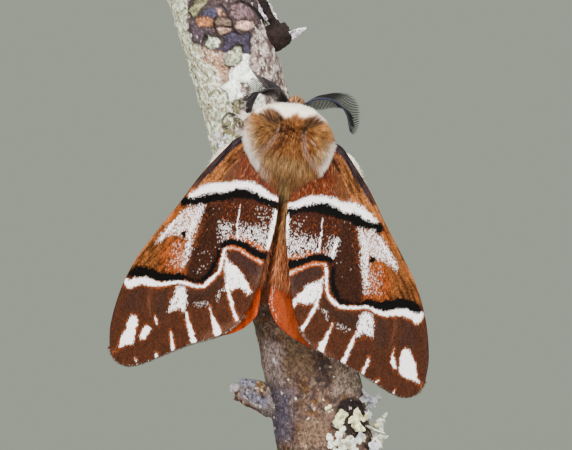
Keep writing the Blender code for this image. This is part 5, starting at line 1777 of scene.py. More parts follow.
STEMS = {
    Side.LEFT: (
        (-0.6, 10.65), (-1.1, 11.3), (-1.72, 11.75), (-2.5, 11.72), (-3.06, 11.5), (-3.4, 11.3),
        (-3.72, 11.0), (-3.95, 10.45), (-4.12, 9.8), (-4.25, 9.05)),
    Side.RIGHT: (
        (1.0, 10.5), (1.4, 10.83), (1.95, 11.2), (2.72, 11.4), (3.4, 11.42), (3.95, 11.32), (4.5, 11.05),
        (5.0, 10.65), (5.4, 10.1), (5.62, 9.55), (5.78, 9.0), (5.95, 8.5)),
}
OUTER_TIPS = {
    Side.LEFT: (
        (-0.7, 10.95), (-1.28, 11.65), (-1.95, 12.2), (-2.72, 12.56), (-3.4, 12.8), (-3.9, 12.95),
        (-4.4, 12.75), (-4.9, 12.1), (-5.0, 11.4), (-5.28, 10.7), (-5.33, 10.0), (-5.1, 9.25),
        (-4.75, 8.85)),
    Side.RIGHT: (
        (1.15, 10.75), (1.95, 11.42), (2.5, 11.75), (3.17, 11.97), (4.06, 12.25), (4.83, 12.35),
        (5.61, 12.22), (6.17, 11.83), (6.56, 11.33), (6.75, 10.75), (6.85, 10.0), (6.83, 9.1), (6.67, 8.45),
        (6.3, 8.15)),
}
INNER_TIPS = {
    Side.LEFT: (
        (-0.75, 10.5), (-1.3, 10.42), (-2.1, 10.38), (-2.55, 10.65), (-2.95, 10.83), (-3.4, 10.95),
        (-3.9, 11.1), (-4.5, 11.0), (-4.85, 10.3), (-4.9, 9.6), (-4.7, 9.0)),
    Side.RIGHT: (
        (1.15, 10.4), (1.5, 10.2), (2.05, 10.1), (2.85, 10.18), (3.6, 10.42), (4.3, 10.6), (5.0, 10.6),
        (5.7, 10.4), (6.15, 9.9), (6.35, 9.3), (6.4, 8.8), (6.2, 8.3)),
}


@dataclass(frozen=True)
class Stance:
    """How a leg stands: its hip and knee, and its foot's height, turn round the branch and length up it."""

    hip: Point
    knee: Point
    foot_z: float
    foot_turn: float
    foot_length: float


LEGS = {
    "front_left": Stance((-1.1, 7.4), (-2.0, 8.6, -7.0), 44.6, 8.0, 1.0),
    "front_right": Stance((1.1, 7.4), (2.8, 8.2, -7.8), 45.0, 62.0, 1.0),
    "mid_left": Stance((-1.5, 5.7), (-4.0, 5.4, -7.2), 41.4, -30.0, -0.6),
    "mid_right": Stance((1.5, 5.7), (3.8, 5.6, -8.6), 42.4, 84.0, 0.6),
    "hind_left": Stance((-1.2, 4.0), (-3.8, 2.6, -7.2), 38.0, -44.0, -1.4),
    "hind_right": Stance((1.2, 4.0), (3.7, 2.6, -8.0), 38.6, 72.0, -1.4),
}
BRANCH_Y = 5.3
BRANCH_AXIS = ((6.6, 7.5), (5.56, 13.1), (3.8, 21.5), (0.6, 34.5), (-2.7, 47.8), (-5.8, 57.9), (-7.0, 62.5))
BRANCH_RADII = (5.1, 5.0, 4.75, 4.65, 4.7, 4.85, 4.9)
BRANCH_BOTTOM = 9.5
BRANCH_TOP = 60.0
OFF_BARK = 12.0


def axis_at(z: Array) -> Array:
    """The branch's middle at some heights, in world millimetres."""
    line = Curve([(x, height) for x, height in BRANCH_AXIS]).line
    x = np.interp(z, line[:, 1], line[:, 0])
    return np.column_stack((x, np.full_like(x, BRANCH_Y), z))


def bark_grip(bark: BVHTree, z: float, turn_deg: float, lift: float) -> Array:
    """A point at a height and a turn round the branch, a little off the bark, in world millimetres."""
    axis = axis_at(np.array([z]))[0]
    turn = math.radians(turn_deg)
    outward = np.array((math.sin(turn), -math.cos(turn), 0.0))
    hit = bark.ray_cast(Vector((axis + outward * OFF_BARK) * MM), Vector(-outward))[0]
    return np.array(hit) / MM + outward * lift


def from_world(points: Array) -> Array:
    """Turns world millimetres into the moth's frame."""
    return (np.asarray(points) - JUNCTION) @ TURN


@dataclass
class Leg:
    """One furry leg from the thorax over the knee to the claws on the bark."""

    name: str
    bark: BVHTree
    radii: tuple[float, ...] = (0.42, 0.44, 0.34, 0.26, 0.19, 0.17)
    grip: float = 0.25
    hairs: int = 1500
    tone: Colour = srgb(96, 54, 30)

    @property
    def node(self) -> str:
        """The name of the leg's solid."""
        return f"leg_{self.name}"

    def path(self) -> Curve:
        """The leg's middle line in the moth's frame."""
        stance = LEGS[self.name]
        (x, y), (centre, radii) = stance.hip, THORAX
        depth = math.sqrt(1 - ((x - centre[0]) / radii[0]) ** 2 - ((y - centre[1]) / radii[1]) ** 2)
        hip = np.array((x, y, centre[2] - radii[2] * depth))
        down = unit((hip - centre) / radii**2)
        heel = from_world(bark_grip(self.bark, stance.foot_z, stance.foot_turn, 0.62 + self.grip))
        toe = from_world(bark_grip(self.bark, stance.foot_z + stance.foot_length, stance.foot_turn, 0.3))
        return Curve([hip - down * 0.3, hip + down * 0.5, np.array(stance.knee), heel, toe])

    def limb(self, path: Curve, effects: Effects) -> None:
        """Makes the leg under its hair."""
        widths = table(np.linspace(0, 1, 34), spaced(self.radii))
        limb = tube(self.node, to_world(path.at(np.linspace(0, 1, 34))), widths, roundness=4)
        paint(limb, "coat", filled(np.array(self.tone) * 0.5, len(limb.vertices)))
        skin = CoatFinish("leg_skin").material(effects)
        add_piece(f"{self.node}_limb", limb, (skin,), "leg_fur", self.node)

    def fur(self, path: Curve, effects: Effects) -> tuple[Array, Array]:
        """Makes the hair.

        Args:
            path: The leg's middle line.
            effects: The shared shader groups.

        Returns:
            The way that the foot points, and a way across it.
        """
        draw = np.random.default_rng(sum(map(ord, self.name)))
        count, tone = self.hairs, np.array(self.tone)
        along, turn = draw.uniform(0.02, 0.97, count), draw.uniform(-math.pi, math.pi, count)
        heading = unit(path.at(along + 0.02) - path.at(along - 0.02))
        side = unit(np.cross(heading, np.array((0.31, 0.2, 0.9))))
        out = side * np.cos(turn)[:, None] + np.cross(heading, side) * np.sin(turn)[:, None]
        roots = path.at(along) + out * (table(along, spaced(self.radii)) * 0.9)[:, None]
        length = table(along, ((0.0, 1.0), (0.4, 0.85), (0.65, 0.5), (1.0, 0.22)))
        length = length * draw.uniform(0.6, 1.1, count)
        tips = roots + unit(out * 0.55 + heading) * length[:, None]
        bends = roots + unit(out + heading * 0.8) * (length * 0.5)[:, None]
        shade = draw.uniform(0.6, 1.4, count)[:, None]
        hairs = Tufts(roots, bends, tips, np.full(count, 0.08), tone * shade * 0.6, tone * shade * 1.3,
                      np.column_stack((along, (turn + math.pi) / (2 * math.pi))) * 0.99)
        hair = CoatFinish("leg_hair").material(effects)
        add_piece(f"{self.node}_hair", hairs.mesh("leg_hair"), (hair,), "leg_fur", self.node)
        return heading[np.argmax(along)], out[0]

    def claws(self, toe: Array, ahead: Array, across: Array, effects: Effects) -> None:
        """Makes the two claws at the toe."""
        spread = unit(np.cross(ahead, across))
        start, claws = toe - ahead * 0.1, []
        for turned in (-1, 1):
            hook = Curve([start, start + ahead * 0.22 + spread * 0.12 * turned,
                          start + ahead * 0.4 + spread * 0.16 * turned - np.array((0, 0, 0.12))])
            line = to_world(hook.at(np.linspace(0, 1, 7)))
            claws.append(tube("claw", line, np.linspace(0.07, 0.02, 7), roundness=2))
        claw = weld(claws, "claws")
        paint(claw, "coat", filled(srgb(34, 22, 16), len(claw.vertices)))
        horn = CoatFinish("claw_horn", roughness=0.25, sheen=0.0).material(effects)
        add_piece(f"{self.node}_claws", claw, (horn,), "leg_fur", self.node)

    def build(self, effects: Effects) -> None:
        """Makes the leg, its hair and its claws."""
        path = self.path()
        self.limb(path, effects)
        ahead, across = self.fur(path, effects)
        self.claws(path.at(np.array([1.0]))[0], ahead, across, effects)


STUBS: dict[str, tuple[tuple[Point, ...], Point]] = {
    "upper": (((-0.9, 4.9, 53.9), (0.7, 4.6, 54.1), (2.0, 4.3, 54.8)), (1.5, 1.45, 0.95)),
    "upper_tip": (((1.5, 4.5, 54.0), (2.6, 4.2, 54.5), (3.8, 4.0, 55.1)), (0.62, 0.42, 0.15)),
    "torn_bark": (((-1.3, 4.2, 59.2), (-0.5, 3.9, 57.0), (0.7, 4.1, 55.2)), (0.36, 0.5, 0.45)),
    "torn_rim": (((-2.4, 3.6, 58.9), (-1.4, 3.3, 57.3), (-0.3, 3.5, 55.8)), (0.2, 0.3, 0.14)),
    "torn_edge": (((-0.6, 4.5, 58.9), (0.2, 4.3, 57.0), (1.1, 4.3, 55.4)), (0.1, 0.14, 0.1)),
    "lower": (((1.6, 5.2, 15.9), (-0.9, 4.7, 16.6), (-3.3, 4.3, 17.4)), (2.1, 1.6, 1.15)),
    "lower_tip": (((-2.9, 4.4, 17.3), (-3.7, 4.2, 17.5), (-4.1, 4.1, 17.5)), (0.75, 0.6, 0.35)),
}
STUB_TONES: dict[str, tuple[Colour, float, tuple[tuple[Colour, Mark], ...]]] = {
    "upper": (srgb(30, 20, 17), 0.01, ()),
    "upper_tip": (srgb(206, 198, 206), 0.1, (
        (srgb(96, 84, 92), Stroke(((1.6, 53.6, 0.2), (2.4, 54.6, 0.12)), 0.2)),)),
    "torn_bark": (srgb(26, 18, 16), 0.0, ()),
    "torn_rim": (srgb(196, 186, 198), 0.1, ()),
    "torn_edge": (srgb(220, 212, 206), 0.1, ()),
    "lower": (srgb(126, 112, 106), 0.12, (
        (srgb(146, 146, 166), Stroke(((-3.4, 18.4, 0.5), (-1.5, 18.3, 0.5)), 0.5)),
        (srgb(104, 100, 116), Stroke(((-2.4, 16.9, 0.5), (-0.6, 16.2, 0.6)), 0.8)),
        (srgb(96, 60, 38), Stroke(((-3.7, 16.6, 0.3), (-1.9, 15.3, 0.35), (-0.8, 14.3, 0.4)), 0.3)),
        (srgb(142, 104, 52), Stroke(((-1.2, 18.5, 0.3), (-0.8, 17.4, 0.4)), 0.4)),
        (srgb(44, 30, 22), Stroke(((-0.9, 16.95, 0.22), (-0.6, 16.5, 0.15)), 0.2)))),
    "lower_tip": (srgb(226, 214, 218), 0.05, (
        (srgb(112, 66, 46), Stroke(((-3.9, 16.8, 0.2), (-3.2, 17.1, 0.2)), 0.2)),)),
}
LICHENS = (
    (16.3, 78, 1.9, 1.5, 40, "grey"), (15.5, 86, 1.9, 1.6, 30, "grey"), (14.6, 22, 1.5, 1.2, 14, "cream"),
    (14.1, 34, 1.9, 1.5, 18, "cream"), (14.4, 48, 1.6, 1.4, 22, "cream"), (13.5, 42, 1.6, 1.3, 20, "cream"),
    (14.4, 78, 1.5, 1.3, 30, "cream"), (12.5, 12, 1.5, 1.2, 14, "pale"), (12.3, 22, 1.7, 1.4, 16, "pale"),
    (13.4, 88, 2.1, 1.5, 45, "pale"), (12.5, 92, 2.7, 1.9, 50, "pale"), (11.7, 84, 2.4, 1.9, 45, "pale"),
    (11.6, 38, 1.9, 1.5, 20, "pale"), (11.4, 56, 2.0, 1.7, 30, "grey"), (10.9, 20, 1.7, 1.5, 15, "pale"),
    (45.5, -24, 1.2, 0.9, 22, "olive"), (44.4, -22, 1.0, 0.8, 25, "olive"), (43.9, -46, 1.2, 1.0, 18, "grey"),
    (42.2, -50, 1.3, 1.1, 22, "grey"),
)
LOBE_TONES: dict[str, tuple[Colour, Colour]] = {
    "pale": (srgb(224, 224, 208), srgb(150, 148, 120)),
    "cream": (srgb(216, 214, 170), srgb(140, 132, 90)),
    "grey": (srgb(194, 192, 200), srgb(116, 110, 118)),
    "olive": (srgb(112, 104, 76), srgb(46, 38, 36)),
}
LICHEN_CRUST = (srgb(172, 178, 152), srgb(120, 120, 84), srgb(214, 220, 200), srgb(146, 138, 116))
BARK_SMOOTH = (srgb(142, 124, 118), srgb(98, 80, 74), srgb(190, 174, 166), srgb(84, 68, 64))
BARK_LOW = (srgb(94, 72, 60), srgb(60, 48, 46), srgb(110, 88, 74), srgb(88, 60, 38))
CRACK = srgb(18, 12, 11)
BARK_MARKS: tuple[tuple[Colour, float, Mark], ...] = (
    (srgb(64, 52, 52), 0.0, Patch((
        (-8.6, 54.6), (-8.6, 58.2), (-1.6, 58.2), (-0.4, 56.0), (-1.6, 54.2), (-1.9, 52.2), (-5.8, 52.4),
        (-7.8, 53.2)), 0.4)),
    (srgb(128, 124, 92), 0.9, Patch((
        (-8.0, 57.5), (-7.1, 57.9), (-6.1, 57.9), (-6.7, 57.1), (-7.3, 56.4), (-7.6, 56.0), (-8.3, 56.0),
        (-8.5, 56.5), (-8.2, 56.9)))),
    (srgb(60, 58, 76), 0.2, Patch((
        (-7.1, 56.4), (-6.5, 56.9), (-5.6, 56.9), (-5.1, 57.1), (-4.5, 56.4), (-5.5, 56.1), (-5.6, 55.6),
        (-6.7, 56.0)))),
    (srgb(74, 62, 70), 0.3, Patch((
        (-8.2, 55.9), (-7.5, 55.9), (-7.4, 55.3), (-7.0, 54.9), (-5.9, 54.7), (-5.8, 54.0), (-6.3, 54.1),
        (-6.5, 54.4), (-6.7, 54.0), (-6.9, 53.3), (-7.5, 53.2), (-7.9, 53.9), (-8.1, 54.7)))),
    (srgb(174, 114, 76), 0.25, Patch((
        (-7.5, 55.9), (-6.7, 56.1), (-5.6, 55.7), (-5.6, 55.3), (-6.1, 54.9), (-7.1, 54.9), (-7.5, 55.3)))),
    (srgb(96, 78, 66), 1.0, Patch((
        (-5.4, 56.0), (-4.3, 56.0), (-4.0, 55.6), (-3.9, 55.0), (-4.8, 54.9), (-5.6, 55.0), (-5.5, 55.6)))),
    (srgb(184, 144, 126), 0.6, Patch((
        (-5.5, 54.9), (-4.8, 54.9), (-3.9, 54.7), (-4.0, 54.4), (-4.7, 54.1), (-5.1, 53.9), (-5.3, 54.4)))),
    (srgb(184, 132, 110), 0.3, Patch(((-5.5, 56.8), (-5.1, 56.9), (-4.7, 56.4), (-4.5, 56.1),
                                      (-5.3, 56.1)))),
    (srgb(110, 86, 88), 0.4, Patch((
        (-3.9, 57.3), (-2.9, 57.5), (-1.9, 56.9), (-1.5, 56.1), (-1.9, 55.6), (-2.7, 55.9), (-3.5, 55.6),
        (-4.0, 56.1), (-4.1, 56.8)))),
    (srgb(184, 144, 130), 0.5, Patch((
        (-3.5, 55.4), (-2.7, 55.7), (-1.7, 55.6), (-1.7, 54.9), (-2.1, 54.7), (-2.9, 54.5), (-3.5, 54.8)))),
    (srgb(54, 48, 64), 0.5, Patch((
        (-4.0, 54.3), (-3.5, 54.4), (-3.1, 54.1), (-2.5, 54.5), (-2.0, 54.3), (-1.9, 53.3), (-2.0, 52.1),
        (-2.7, 52.1), (-2.8, 52.9), (-3.2, 53.2), (-3.7, 52.9), (-4.1, 52.3), (-4.5, 52.3), (-4.9, 52.5),
        (-5.7, 52.5), (-5.3, 52.9), (-4.8, 52.9), (-4.5, 53.5), (-4.8, 53.9)))),
    (srgb(186, 192, 168), 0.7, Patch((
        (-6.3, 54.3), (-6.1, 53.9), (-5.3, 53.9), (-5.0, 53.5), (-5.1, 52.9), (-5.5, 52.7), (-5.9, 52.5),
        (-6.3, 52.7), (-6.5, 53.2)))),
    (srgb(150, 108, 84), 0.0, Patch((
        (-7.0, 53.0), (-6.0, 52.5), (-5.0, 52.3), (-4.5, 51.2), (-4.3, 49.6), (-4.7, 49.0), (-5.4, 49.9),
        (-6.2, 51.0), (-7.0, 51.6)), 0.6, 0.85)),
    (srgb(150, 152, 126), 0.75, Patch((
        (-4.0, 52.4), (-3.5, 52.9), (-2.9, 52.9), (-2.8, 52.1), (-2.9, 51.5), (-3.5, 50.9), (-4.0, 50.8),
        (-4.5, 50.9), (-4.7, 51.5), (-4.3, 52.0)))),
    (CRACK, 0.0, Stroke((
        (-3.5, 57.6, 0.1), (-2.6, 57.45, 0.12), (-1.6, 56.9, 0.16), (-0.9, 56.1, 0.2),
        (-0.5, 55.3, 0.12)), 0.08)),
    (CRACK, 0.0, Stroke((
        (-5.0, 57.3, 0.08), (-4.5, 56.7, 0.1), (-4.2, 56.2, 0.08), (-3.9, 55.4, 0.1), (-3.6, 54.6, 0.16),
        (-3.1, 54.1, 0.14)), 0.08)),
    (CRACK, 0.0, Stroke(((-5.6, 56.0, 0.05), (-5.65, 55.0, 0.08), (-5.2, 53.9, 0.07), (-4.9, 53.5, 0.05)),
                        0.06)),
    (CRACK, 0.0, Stroke(((-7.0, 53.4, 0.1), (-6.6, 53.9, 0.18), (-6.5, 54.0, 0.1)), 0.08)),
    (srgb(96, 92, 66), 0.6, Patch(((-3.9, 47.3), (-3.4, 47.5), (-2.9, 47.2), (-2.9, 46.4), (-3.8, 46.2)),
                                  0.2, 0.9)),
    (srgb(224, 222, 210), 0.0, Patch(((-1.2, 47.9), (-0.6, 47.6), (-0.2, 46.6), (-1.7, 46.4)), 0.3, 0.9)),
    (srgb(152, 132, 128), 0.0, Patch(((-0.6, 18.0), (-0.9, 22.5), (1.4, 22.0), (1.6, 18.0)), 0.9, 0.8)),
    (srgb(92, 72, 54), 0.0, Patch(((1.5, 19.0), (1.2, 24.0), (5.0, 23.0), (5.2, 19.2)), 1.0, 0.8)),
    (srgb(84, 66, 46), 0.0, Stroke(((1.6, 20.7, 0.15), (3.0, 20.8, 0.1)), 0.3, 0.8)),
    (srgb(84, 66, 46), 0.0, Stroke(((2.6, 18.6, 0.12), (4.0, 18.8, 0.12)), 0.3, 0.8)),
    (srgb(44, 36, 38), 0.0, Stroke(((5.0, 21.2, 0.25), (5.5, 19.8, 0.6), (5.6, 18.9, 0.3)), 0.9, 0.85)),
    (srgb(148, 128, 114), 0.0, Patch(((6.6, 17.2), (6.8, 20.6), (9.2, 19.6), (9.5, 16.9)), 0.9, 0.85)),
    (srgb(70, 68, 84), 0.0, Patch(((-0.3, 12.0), (0.0, 18.0), (2.3, 17.6), (2.4, 12.0)), 1.4, 0.75)),
    (srgb(114, 90, 72), 0.0, Patch(((3.0, 11.6), (3.2, 14.4), (5.9, 14.6), (6.0, 11.6)), 0.9, 0.8)),
    (srgb(206, 206, 212), 0.0, Stroke(((0.3, 20.5, 0.12), (0.6, 20.2, 0.12)), 0.3, 0.8)),
    # Near-black patches under the leafy lichens of the lower right: painted shadow beneath the lobes.
    (srgb(24, 17, 16), 0.0, Patch(((6.8, 15.2), (7.2, 16.3), (8.3, 16.7), (9.7, 16.1), (9.9, 15.3),
                                   (8.6, 15.1)), 0.3)),
    (srgb(28, 21, 20), 0.0, Patch((
        (6.3, 13.4), (6.6, 14.6), (7.0, 15.4), (9.9, 15.2), (10.6, 12.8), (8.8, 11.6),
        (7.8, 13.0)), 0.3, 0.9)),
    (srgb(32, 26, 28), 0.0, Stroke((
        (-4.9, 44.8, 0.1), (-4.7, 45.7, 0.15), (-4.0, 46.1, 0.12), (-3.0, 45.2, 0.14),
        (-2.7, 44.7, 0.1)), 0.1)),
    (srgb(32, 26, 28), 0.0, Stroke(((-4.3, 44.4, 0.08), (-4.6, 43.8, 0.12), (-4.2, 43.3, 0.1)), 0.1)),
)
SCAR = Patch((
    (-2.8, 52.0), (-2.2, 52.1), (-2.1, 51.5), (-2.1, 50.9), (-1.9, 50.4), (-1.5, 50.0), (-1.1, 49.3),
    (-0.5, 48.6), (-1.0, 47.6), (-2.1, 47.6), (-2.0, 48.6), (-2.3, 49.3), (-3.0, 49.2), (-3.1, 48.3),
    (-2.7, 47.7), (-3.0, 47.6), (-3.5, 47.5), (-4.0, 47.1), (-4.3, 47.6), (-4.4, 48.1), (-4.7, 48.4),
    (-4.9, 48.7), (-4.8, 48.9), (-4.2, 49.3), (-4.1, 50.1), (-3.7, 50.5), (-3.2, 50.9), (-2.8, 51.5)), 0.1)


@dataclass
class Perch:
    """The short cut branch with its bark plates, crust lichen, broken stubs and leafy lichens."""

    bark: BVHTree
    around: int = 230
    along: int = 380
    relief: float = 0.28
    cut_rings: int = 36
    cut_spokes: int = 120

    def surface(self) -> tuple[bpy.types.Mesh, Array, Array]:
        """The trunk's fine mesh, with each point's height and turn round it."""
        bm = bmesh.new()
        bmesh.ops.create_cone(bm, cap_ends=True, segments=self.around, radius1=1.0, radius2=1.0, depth=2.0)
        upright = [e for e in bm.edges if abs(e.verts[0].co.z - e.verts[1].co.z) > 1]
        bmesh.ops.subdivide_edges(bm, edges=upright, cuts=self.along)
        mesh = mesh_from(bm, "bark")
        flat = points_of(mesh)
        z = BRANCH_BOTTOM + (flat[:, 2] + 1) / 2 * (BRANCH_TOP - BRANCH_BOTTOM)
        return mesh, z, np.arctan2(flat[:, 0], -flat[:, 1])

    def tones(self, spots: Array, palette: Sequence[Colour], seed: float, size: float) -> Array:
        """A patchy mix of a few colours over some places."""
        made = filled(palette[0], len(spots))
        for index, colour in enumerate(palette[1:]):
            clouds = waver(spots, size * (1 + 0.35 * index), 1.0, seed + 7 * index)
            made = blend(made, colour, smooth(clouds, 0.02, 0.3))
        return made

    def ground(self, spots: Array, low: Array, crust: Array) -> Array:
        """The colour of the bark between its plates.

        Args:
            spots: Places on the trunk, in world millimetres.
            low: How much each is part of the rough lower bark, 0 to 1.
            crust: How much each lies under crust lichen, 0 to 1.

        Returns:
            The colour of each.
        """
        colour = self.tones(spots, BARK_SMOOTH, 3.0, 0.55)
        colour = colour + (self.tones(spots, BARK_LOW, 5.0, 0.6) - colour) * low[:, None]
        dark = smooth(waver(spots * np.array((1, 1, 0.6)), 0.5, 1.0, 21.0), 0.2, 0.42)
        colour = blend(colour, srgb(60, 48, 48), dark * (0.3 + 0.4 * low))
        return colour + (self.tones(spots, LICHEN_CRUST, 13.0, 0.45) - colour) * crust[:, None]

    def trunk(self, effects: Effects) -> None:
        """Makes the bark of the branch."""
        mesh, z, turn = self.surface()
        axis = axis_at(z)
        thickness = Curve([(radius, i * 8.0) for i, radius in enumerate(BRANCH_RADII)])
        shares = np.clip((z - BRANCH_AXIS[0][1]) / (BRANCH_AXIS[-1][1] - BRANCH_AXIS[0][1]), 0, 1)
        radius = thickness.at(shares)[:, 0]
        outward = np.column_stack((np.sin(turn), -np.cos(turn), np.zeros(len(turn))))
        caps = np.hypot(*points_of(mesh)[:, :2].T)
        spots = axis + outward * (radius * caps)[:, None]
        coarse = waver(spots * np.array((1, 1, 0.5)), 1 / 0.35, 1.0, 0.0)
        fine = waver(spots * np.array((1, 1, 0.6)), 1 / 0.9, 1.0, 0.0)
        tiny = waver(spots, 0.32, 1.0, 5.0)
        lump = waver(spots, 0.75, 1.0, 8.0)
        crust = smooth(-spots[:, 0] + axis[:, 0] - 1.1 + lump * 1.3, -0.5, 0.9) * smooth(z, 38.0, 42.0)
        low = 1 - smooth(z, 30.0, 38.0)
        colour = self.ground(spots, low, crust)
        front = spots[:, 1] < BRANCH_Y
        where = np.column_stack((spots[:, 0] + 0.16 * lump + 0.08 * tiny, z + 0.16 * fine + 0.08 * tiny))
        height = self.relief * (coarse + 0.6 * fine) + 0.07 * tiny + 0.12 * crust * lump
        for tone, rim, mark in BARK_MARKS:
            inside = mark.density(where) * front
            edge = min(rim * 1.7, 1.0) * mark.rim(where, 0.0, 0.1) * front
            colour = blend(blend(colour, tone, inside), CRACK, edge)
            height += (0.05 * (rim > 0) * inside - 0.07 * edge) * (z > 40)
        patch = SCAR.density(where) * front
        colour = blend(colour, srgb(60, 54, 48), SCAR.rim(where, 0.0, 0.1) * front * 0.7)
        colour = blend(colour, srgb(230, 234, 220), patch)
        height += 0.14 * patch
        plates = BARK_MARKS[0][2].density(where) * front
        colour *= (1 + 0.9 * plates * np.clip(waver(spots, 0.2, 1.0, 3.0), -0.7, 0.5))[:, None]
        flecks = {"dark": (0.18 + 0.2 * low + 0.1 * crust + 0.14 * plates) * (1 - 0.9 * patch),
                  "pale": (0.1 + 0.16 * crust - 0.08 * low) * (1 - 0.9 * patch) * (1 - 0.92 * plates)}
        move_points(mesh, (spots + outward * (height * caps)[:, None]) * MM)
        face_outwards(mesh)
        paint(mesh, "coat", colour)
        for name, density in flecks.items():
            paint(mesh, name, density)
        mesh.shade_smooth()
        mesh.set_sharp_from_angle(angle=math.radians(60))
        add_piece("perch_bark", mesh, (BarkFinish().material(effects),), "bark", "perch_branch")

    def stub(self, name: str, effects: Effects) -> None:
        """Makes one broken twig stub."""
        path, radii = STUBS[name]
        shares = np.linspace(0, 1, 40)
        widths = table(shares, spaced(radii))
        mesh = tube(f"stub_{name}", Curve(path).at(shares) * MM, widths, roundness=10)
        spots = points_of(mesh) / MM
        lump = waver(spots * np.array((0.5, 1, 1)), 0.6, 1.0, 40.0)
        fine = waver(spots, 0.22, 1.0, 41.0)
        move_points(mesh, (spots + normals_of(mesh) * (0.22 * lump + 0.08 * fine)[:, None]) * MM)
        base, share, marks = STUB_TONES[name]
        colour = blend(filled(base, len(spots)), np.array(base) * 0.45, smooth(lump, 0.05, 0.35) * 0.7)
        for tone, mark in marks:
            colour = blend(colour, tone, mark.density(spots[:, ::2]))
        paint(mesh, "dark", np.full(len(spots), 0.2))
        paint(mesh, "pale", np.full(len(spots), share))
        paint(mesh, "coat", colour)
        wood = BarkFinish("broken_wood").material(effects)
        add_piece(f"perch_stub_{name}", mesh, (wood,), "bark", "perch_branch")

    def lobe(self, bm: bmesh.types.BMesh, root: Array, outward: Array, size: Point, tilt: float,
             draw: np.random.Generator) -> None:
        """Adds one thin, wavy, rounded lobe of lichen."""
        spin = draw.uniform(-math.pi, math.pi)
        sideways = unit(np.cross(np.array((0.0, 0.0, 1.0)), outward))
        lie = sideways * math.cos(spin) + np.array((0.0, 0.0, 1.0)) * math.sin(spin)
        along = lie * math.cos(tilt) + outward * math.sin(tilt)
        across = unit(np.cross(along, outward))
        lift = np.cross(across, along)
        made = bmesh.ops.create_icosphere(bm, subdivisions=4, radius=1.0)["verts"]
        phase = draw.uniform(0, 6.28, 3)
        for v in made:
            angle = math.atan2(v.co.y, v.co.x)
            reach = 1 + 0.16 * math.sin(3 * angle + phase[0]) + 0.1 * math.sin(5 * angle + phase[1])
            reach += 0.06 * math.sin(9 * angle + phase[2])
            flat = math.hypot(v.co.x, v.co.y)
            curl = 0.28 * flat**2 + 0.12 * math.sin(4 * angle + phase[1]) * flat
            spot = (root + along * (v.co.x * size[0] * reach * 0.55 + size[0] * 0.3)
                    + across * (v.co.y * size[1] * reach * 0.55) + lift * (v.co.z * 0.13 + curl * 0.35))
            v.co = Vector(spot * MM)

    def leaves(self, effects: Effects) -> None:
        """Makes the leafy lichens in two tones."""
        draw = np.random.default_rng(7)
        beds = {tone: bmesh.new() for tone in LOBE_TONES}
        for z, turn_deg, length, width, tilt_deg, tone in LICHENS:
            for _ in range(4):
                spin_deg, up = turn_deg + draw.uniform(-13, 13), z + draw.uniform(-0.9, 0.9)
                root = bark_grip(self.bark, up, spin_deg, -0.1)
                turn = math.radians(spin_deg)
                outward = np.array((math.sin(turn), -math.cos(turn), 0.0))
                share = draw.uniform(0.45, 0.75)
                self.lobe(beds[tone], root, outward, (length * share, width * share),
                          math.radians(tilt_deg * draw.uniform(0.5, 1.4)), draw)
        for tone, bm in beds.items():
            bmesh.ops.recalc_face_normals(bm, faces=bm.faces)
            mesh = mesh_from(bm, f"lichen_{tone}")
            mesh.shade_smooth()
            spots = points_of(mesh) / MM
            base, shade = LOBE_TONES[tone]
            clouds = smooth(waver(spots, 0.5, 1.0, 50.0), 0.05, 0.4)
            paint(mesh, "coat", blend(filled(base, len(spots)), shade, clouds * 0.8))
            lichen = BarkFinish("leafy_lichen", size=2600.0, amount=0.3).material(effects)
            add_piece(f"perch_lichen_{tone}", mesh, (lichen,), "bark", "perch_branch")

    def cuts(self, effects: Effects) -> None:
        """Makes the sawn wood of both ends, in rings round the pith."""
        rings, around = self.cut_rings, self.cut_spokes
        bm = bmesh.new()
        for z, height in ((BRANCH_TOP, 0.03), (BRANCH_BOTTOM, -0.03)):
            axis = axis_at(np.array([z]))[0]
            hub = bm.verts.new((axis + (0, 0, height)) * MM)
            loops = []
            for ring in range(1, rings + 1):
                turns = np.arange(around) * 2 * math.pi / around
                reach = (4.15 + 0.25 * np.sin(2 * turns + 0.6)) * ring / rings
                spots = np.column_stack((np.cos(turns) * reach, np.sin(turns) * reach,
                                         np.full(around, height)))
                loops.append([bm.verts.new(spot) for spot in (axis + spots) * MM])
            for index, start in enumerate(loops[0]):
                bm.faces.new((hub, start, loops[0][(index + 1) % around]))
            for inner, outer in zip(loops[:-1], loops[1:]):
                for index in range(around):
                    after = (index + 1) % around
                    bm.faces.new((inner[index], outer[index], outer[after], inner[after]))
            if height < 0:
                bmesh.ops.reverse_faces(bm, faces=[face for face in bm.faces if face.verts[0].co.z < 0.02])
        mesh = mesh_from(bm, "cut_wood")
        spots = points_of(mesh) / MM
        reach = np.linalg.norm(spots - axis_at(spots[:, 2]), axis=1)
        rings_seen = smooth(np.sin(reach * 9.0 + waver(spots, 1.5, 1.5, 60.0)), 0.2, 0.9)
        colour = blend(filled(srgb(168, 134, 92), len(spots)), srgb(120, 86, 52), rings_seen * 0.7)
        colour = blend(colour, srgb(96, 70, 46), smooth(reach, 3.6, 4.3) * 0.8)
        colour = blend(colour, srgb(84, 58, 36), smooth(0.5 - reach, 0.0, 0.3) * 0.8)
        paint(mesh, "coat", colour)
        mesh.shade_smooth()
        wood = BarkFinish("sawn_wood", size=2200.0, amount=0.2).material(effects)
        add_piece("perch_cut_ends", mesh, (wood,), "bark", "perch_branch")

    def build(self, effects: Effects) -> None:
        """Makes every piece of the perch."""
        self.trunk(effects)
        self.cuts(effects)
        for name in STUBS:
            self.stub(name, effects)
        self.leaves(effects)


@dataclass
class Stand:
    """The display stand's base and rod, which keep their solids and get their finishes."""

    base: bpy.types.Object
    rod: bpy.types.Object

    def dress(self, effects: Effects) -> None:
        """Gives both their finishes."""
        for obj, finish in ((self.base, LacquerFinish()), (self.rod, SteelFinish())):
            made = finish.material(effects)
            for slot in obj.material_slots:
                slot.material = made


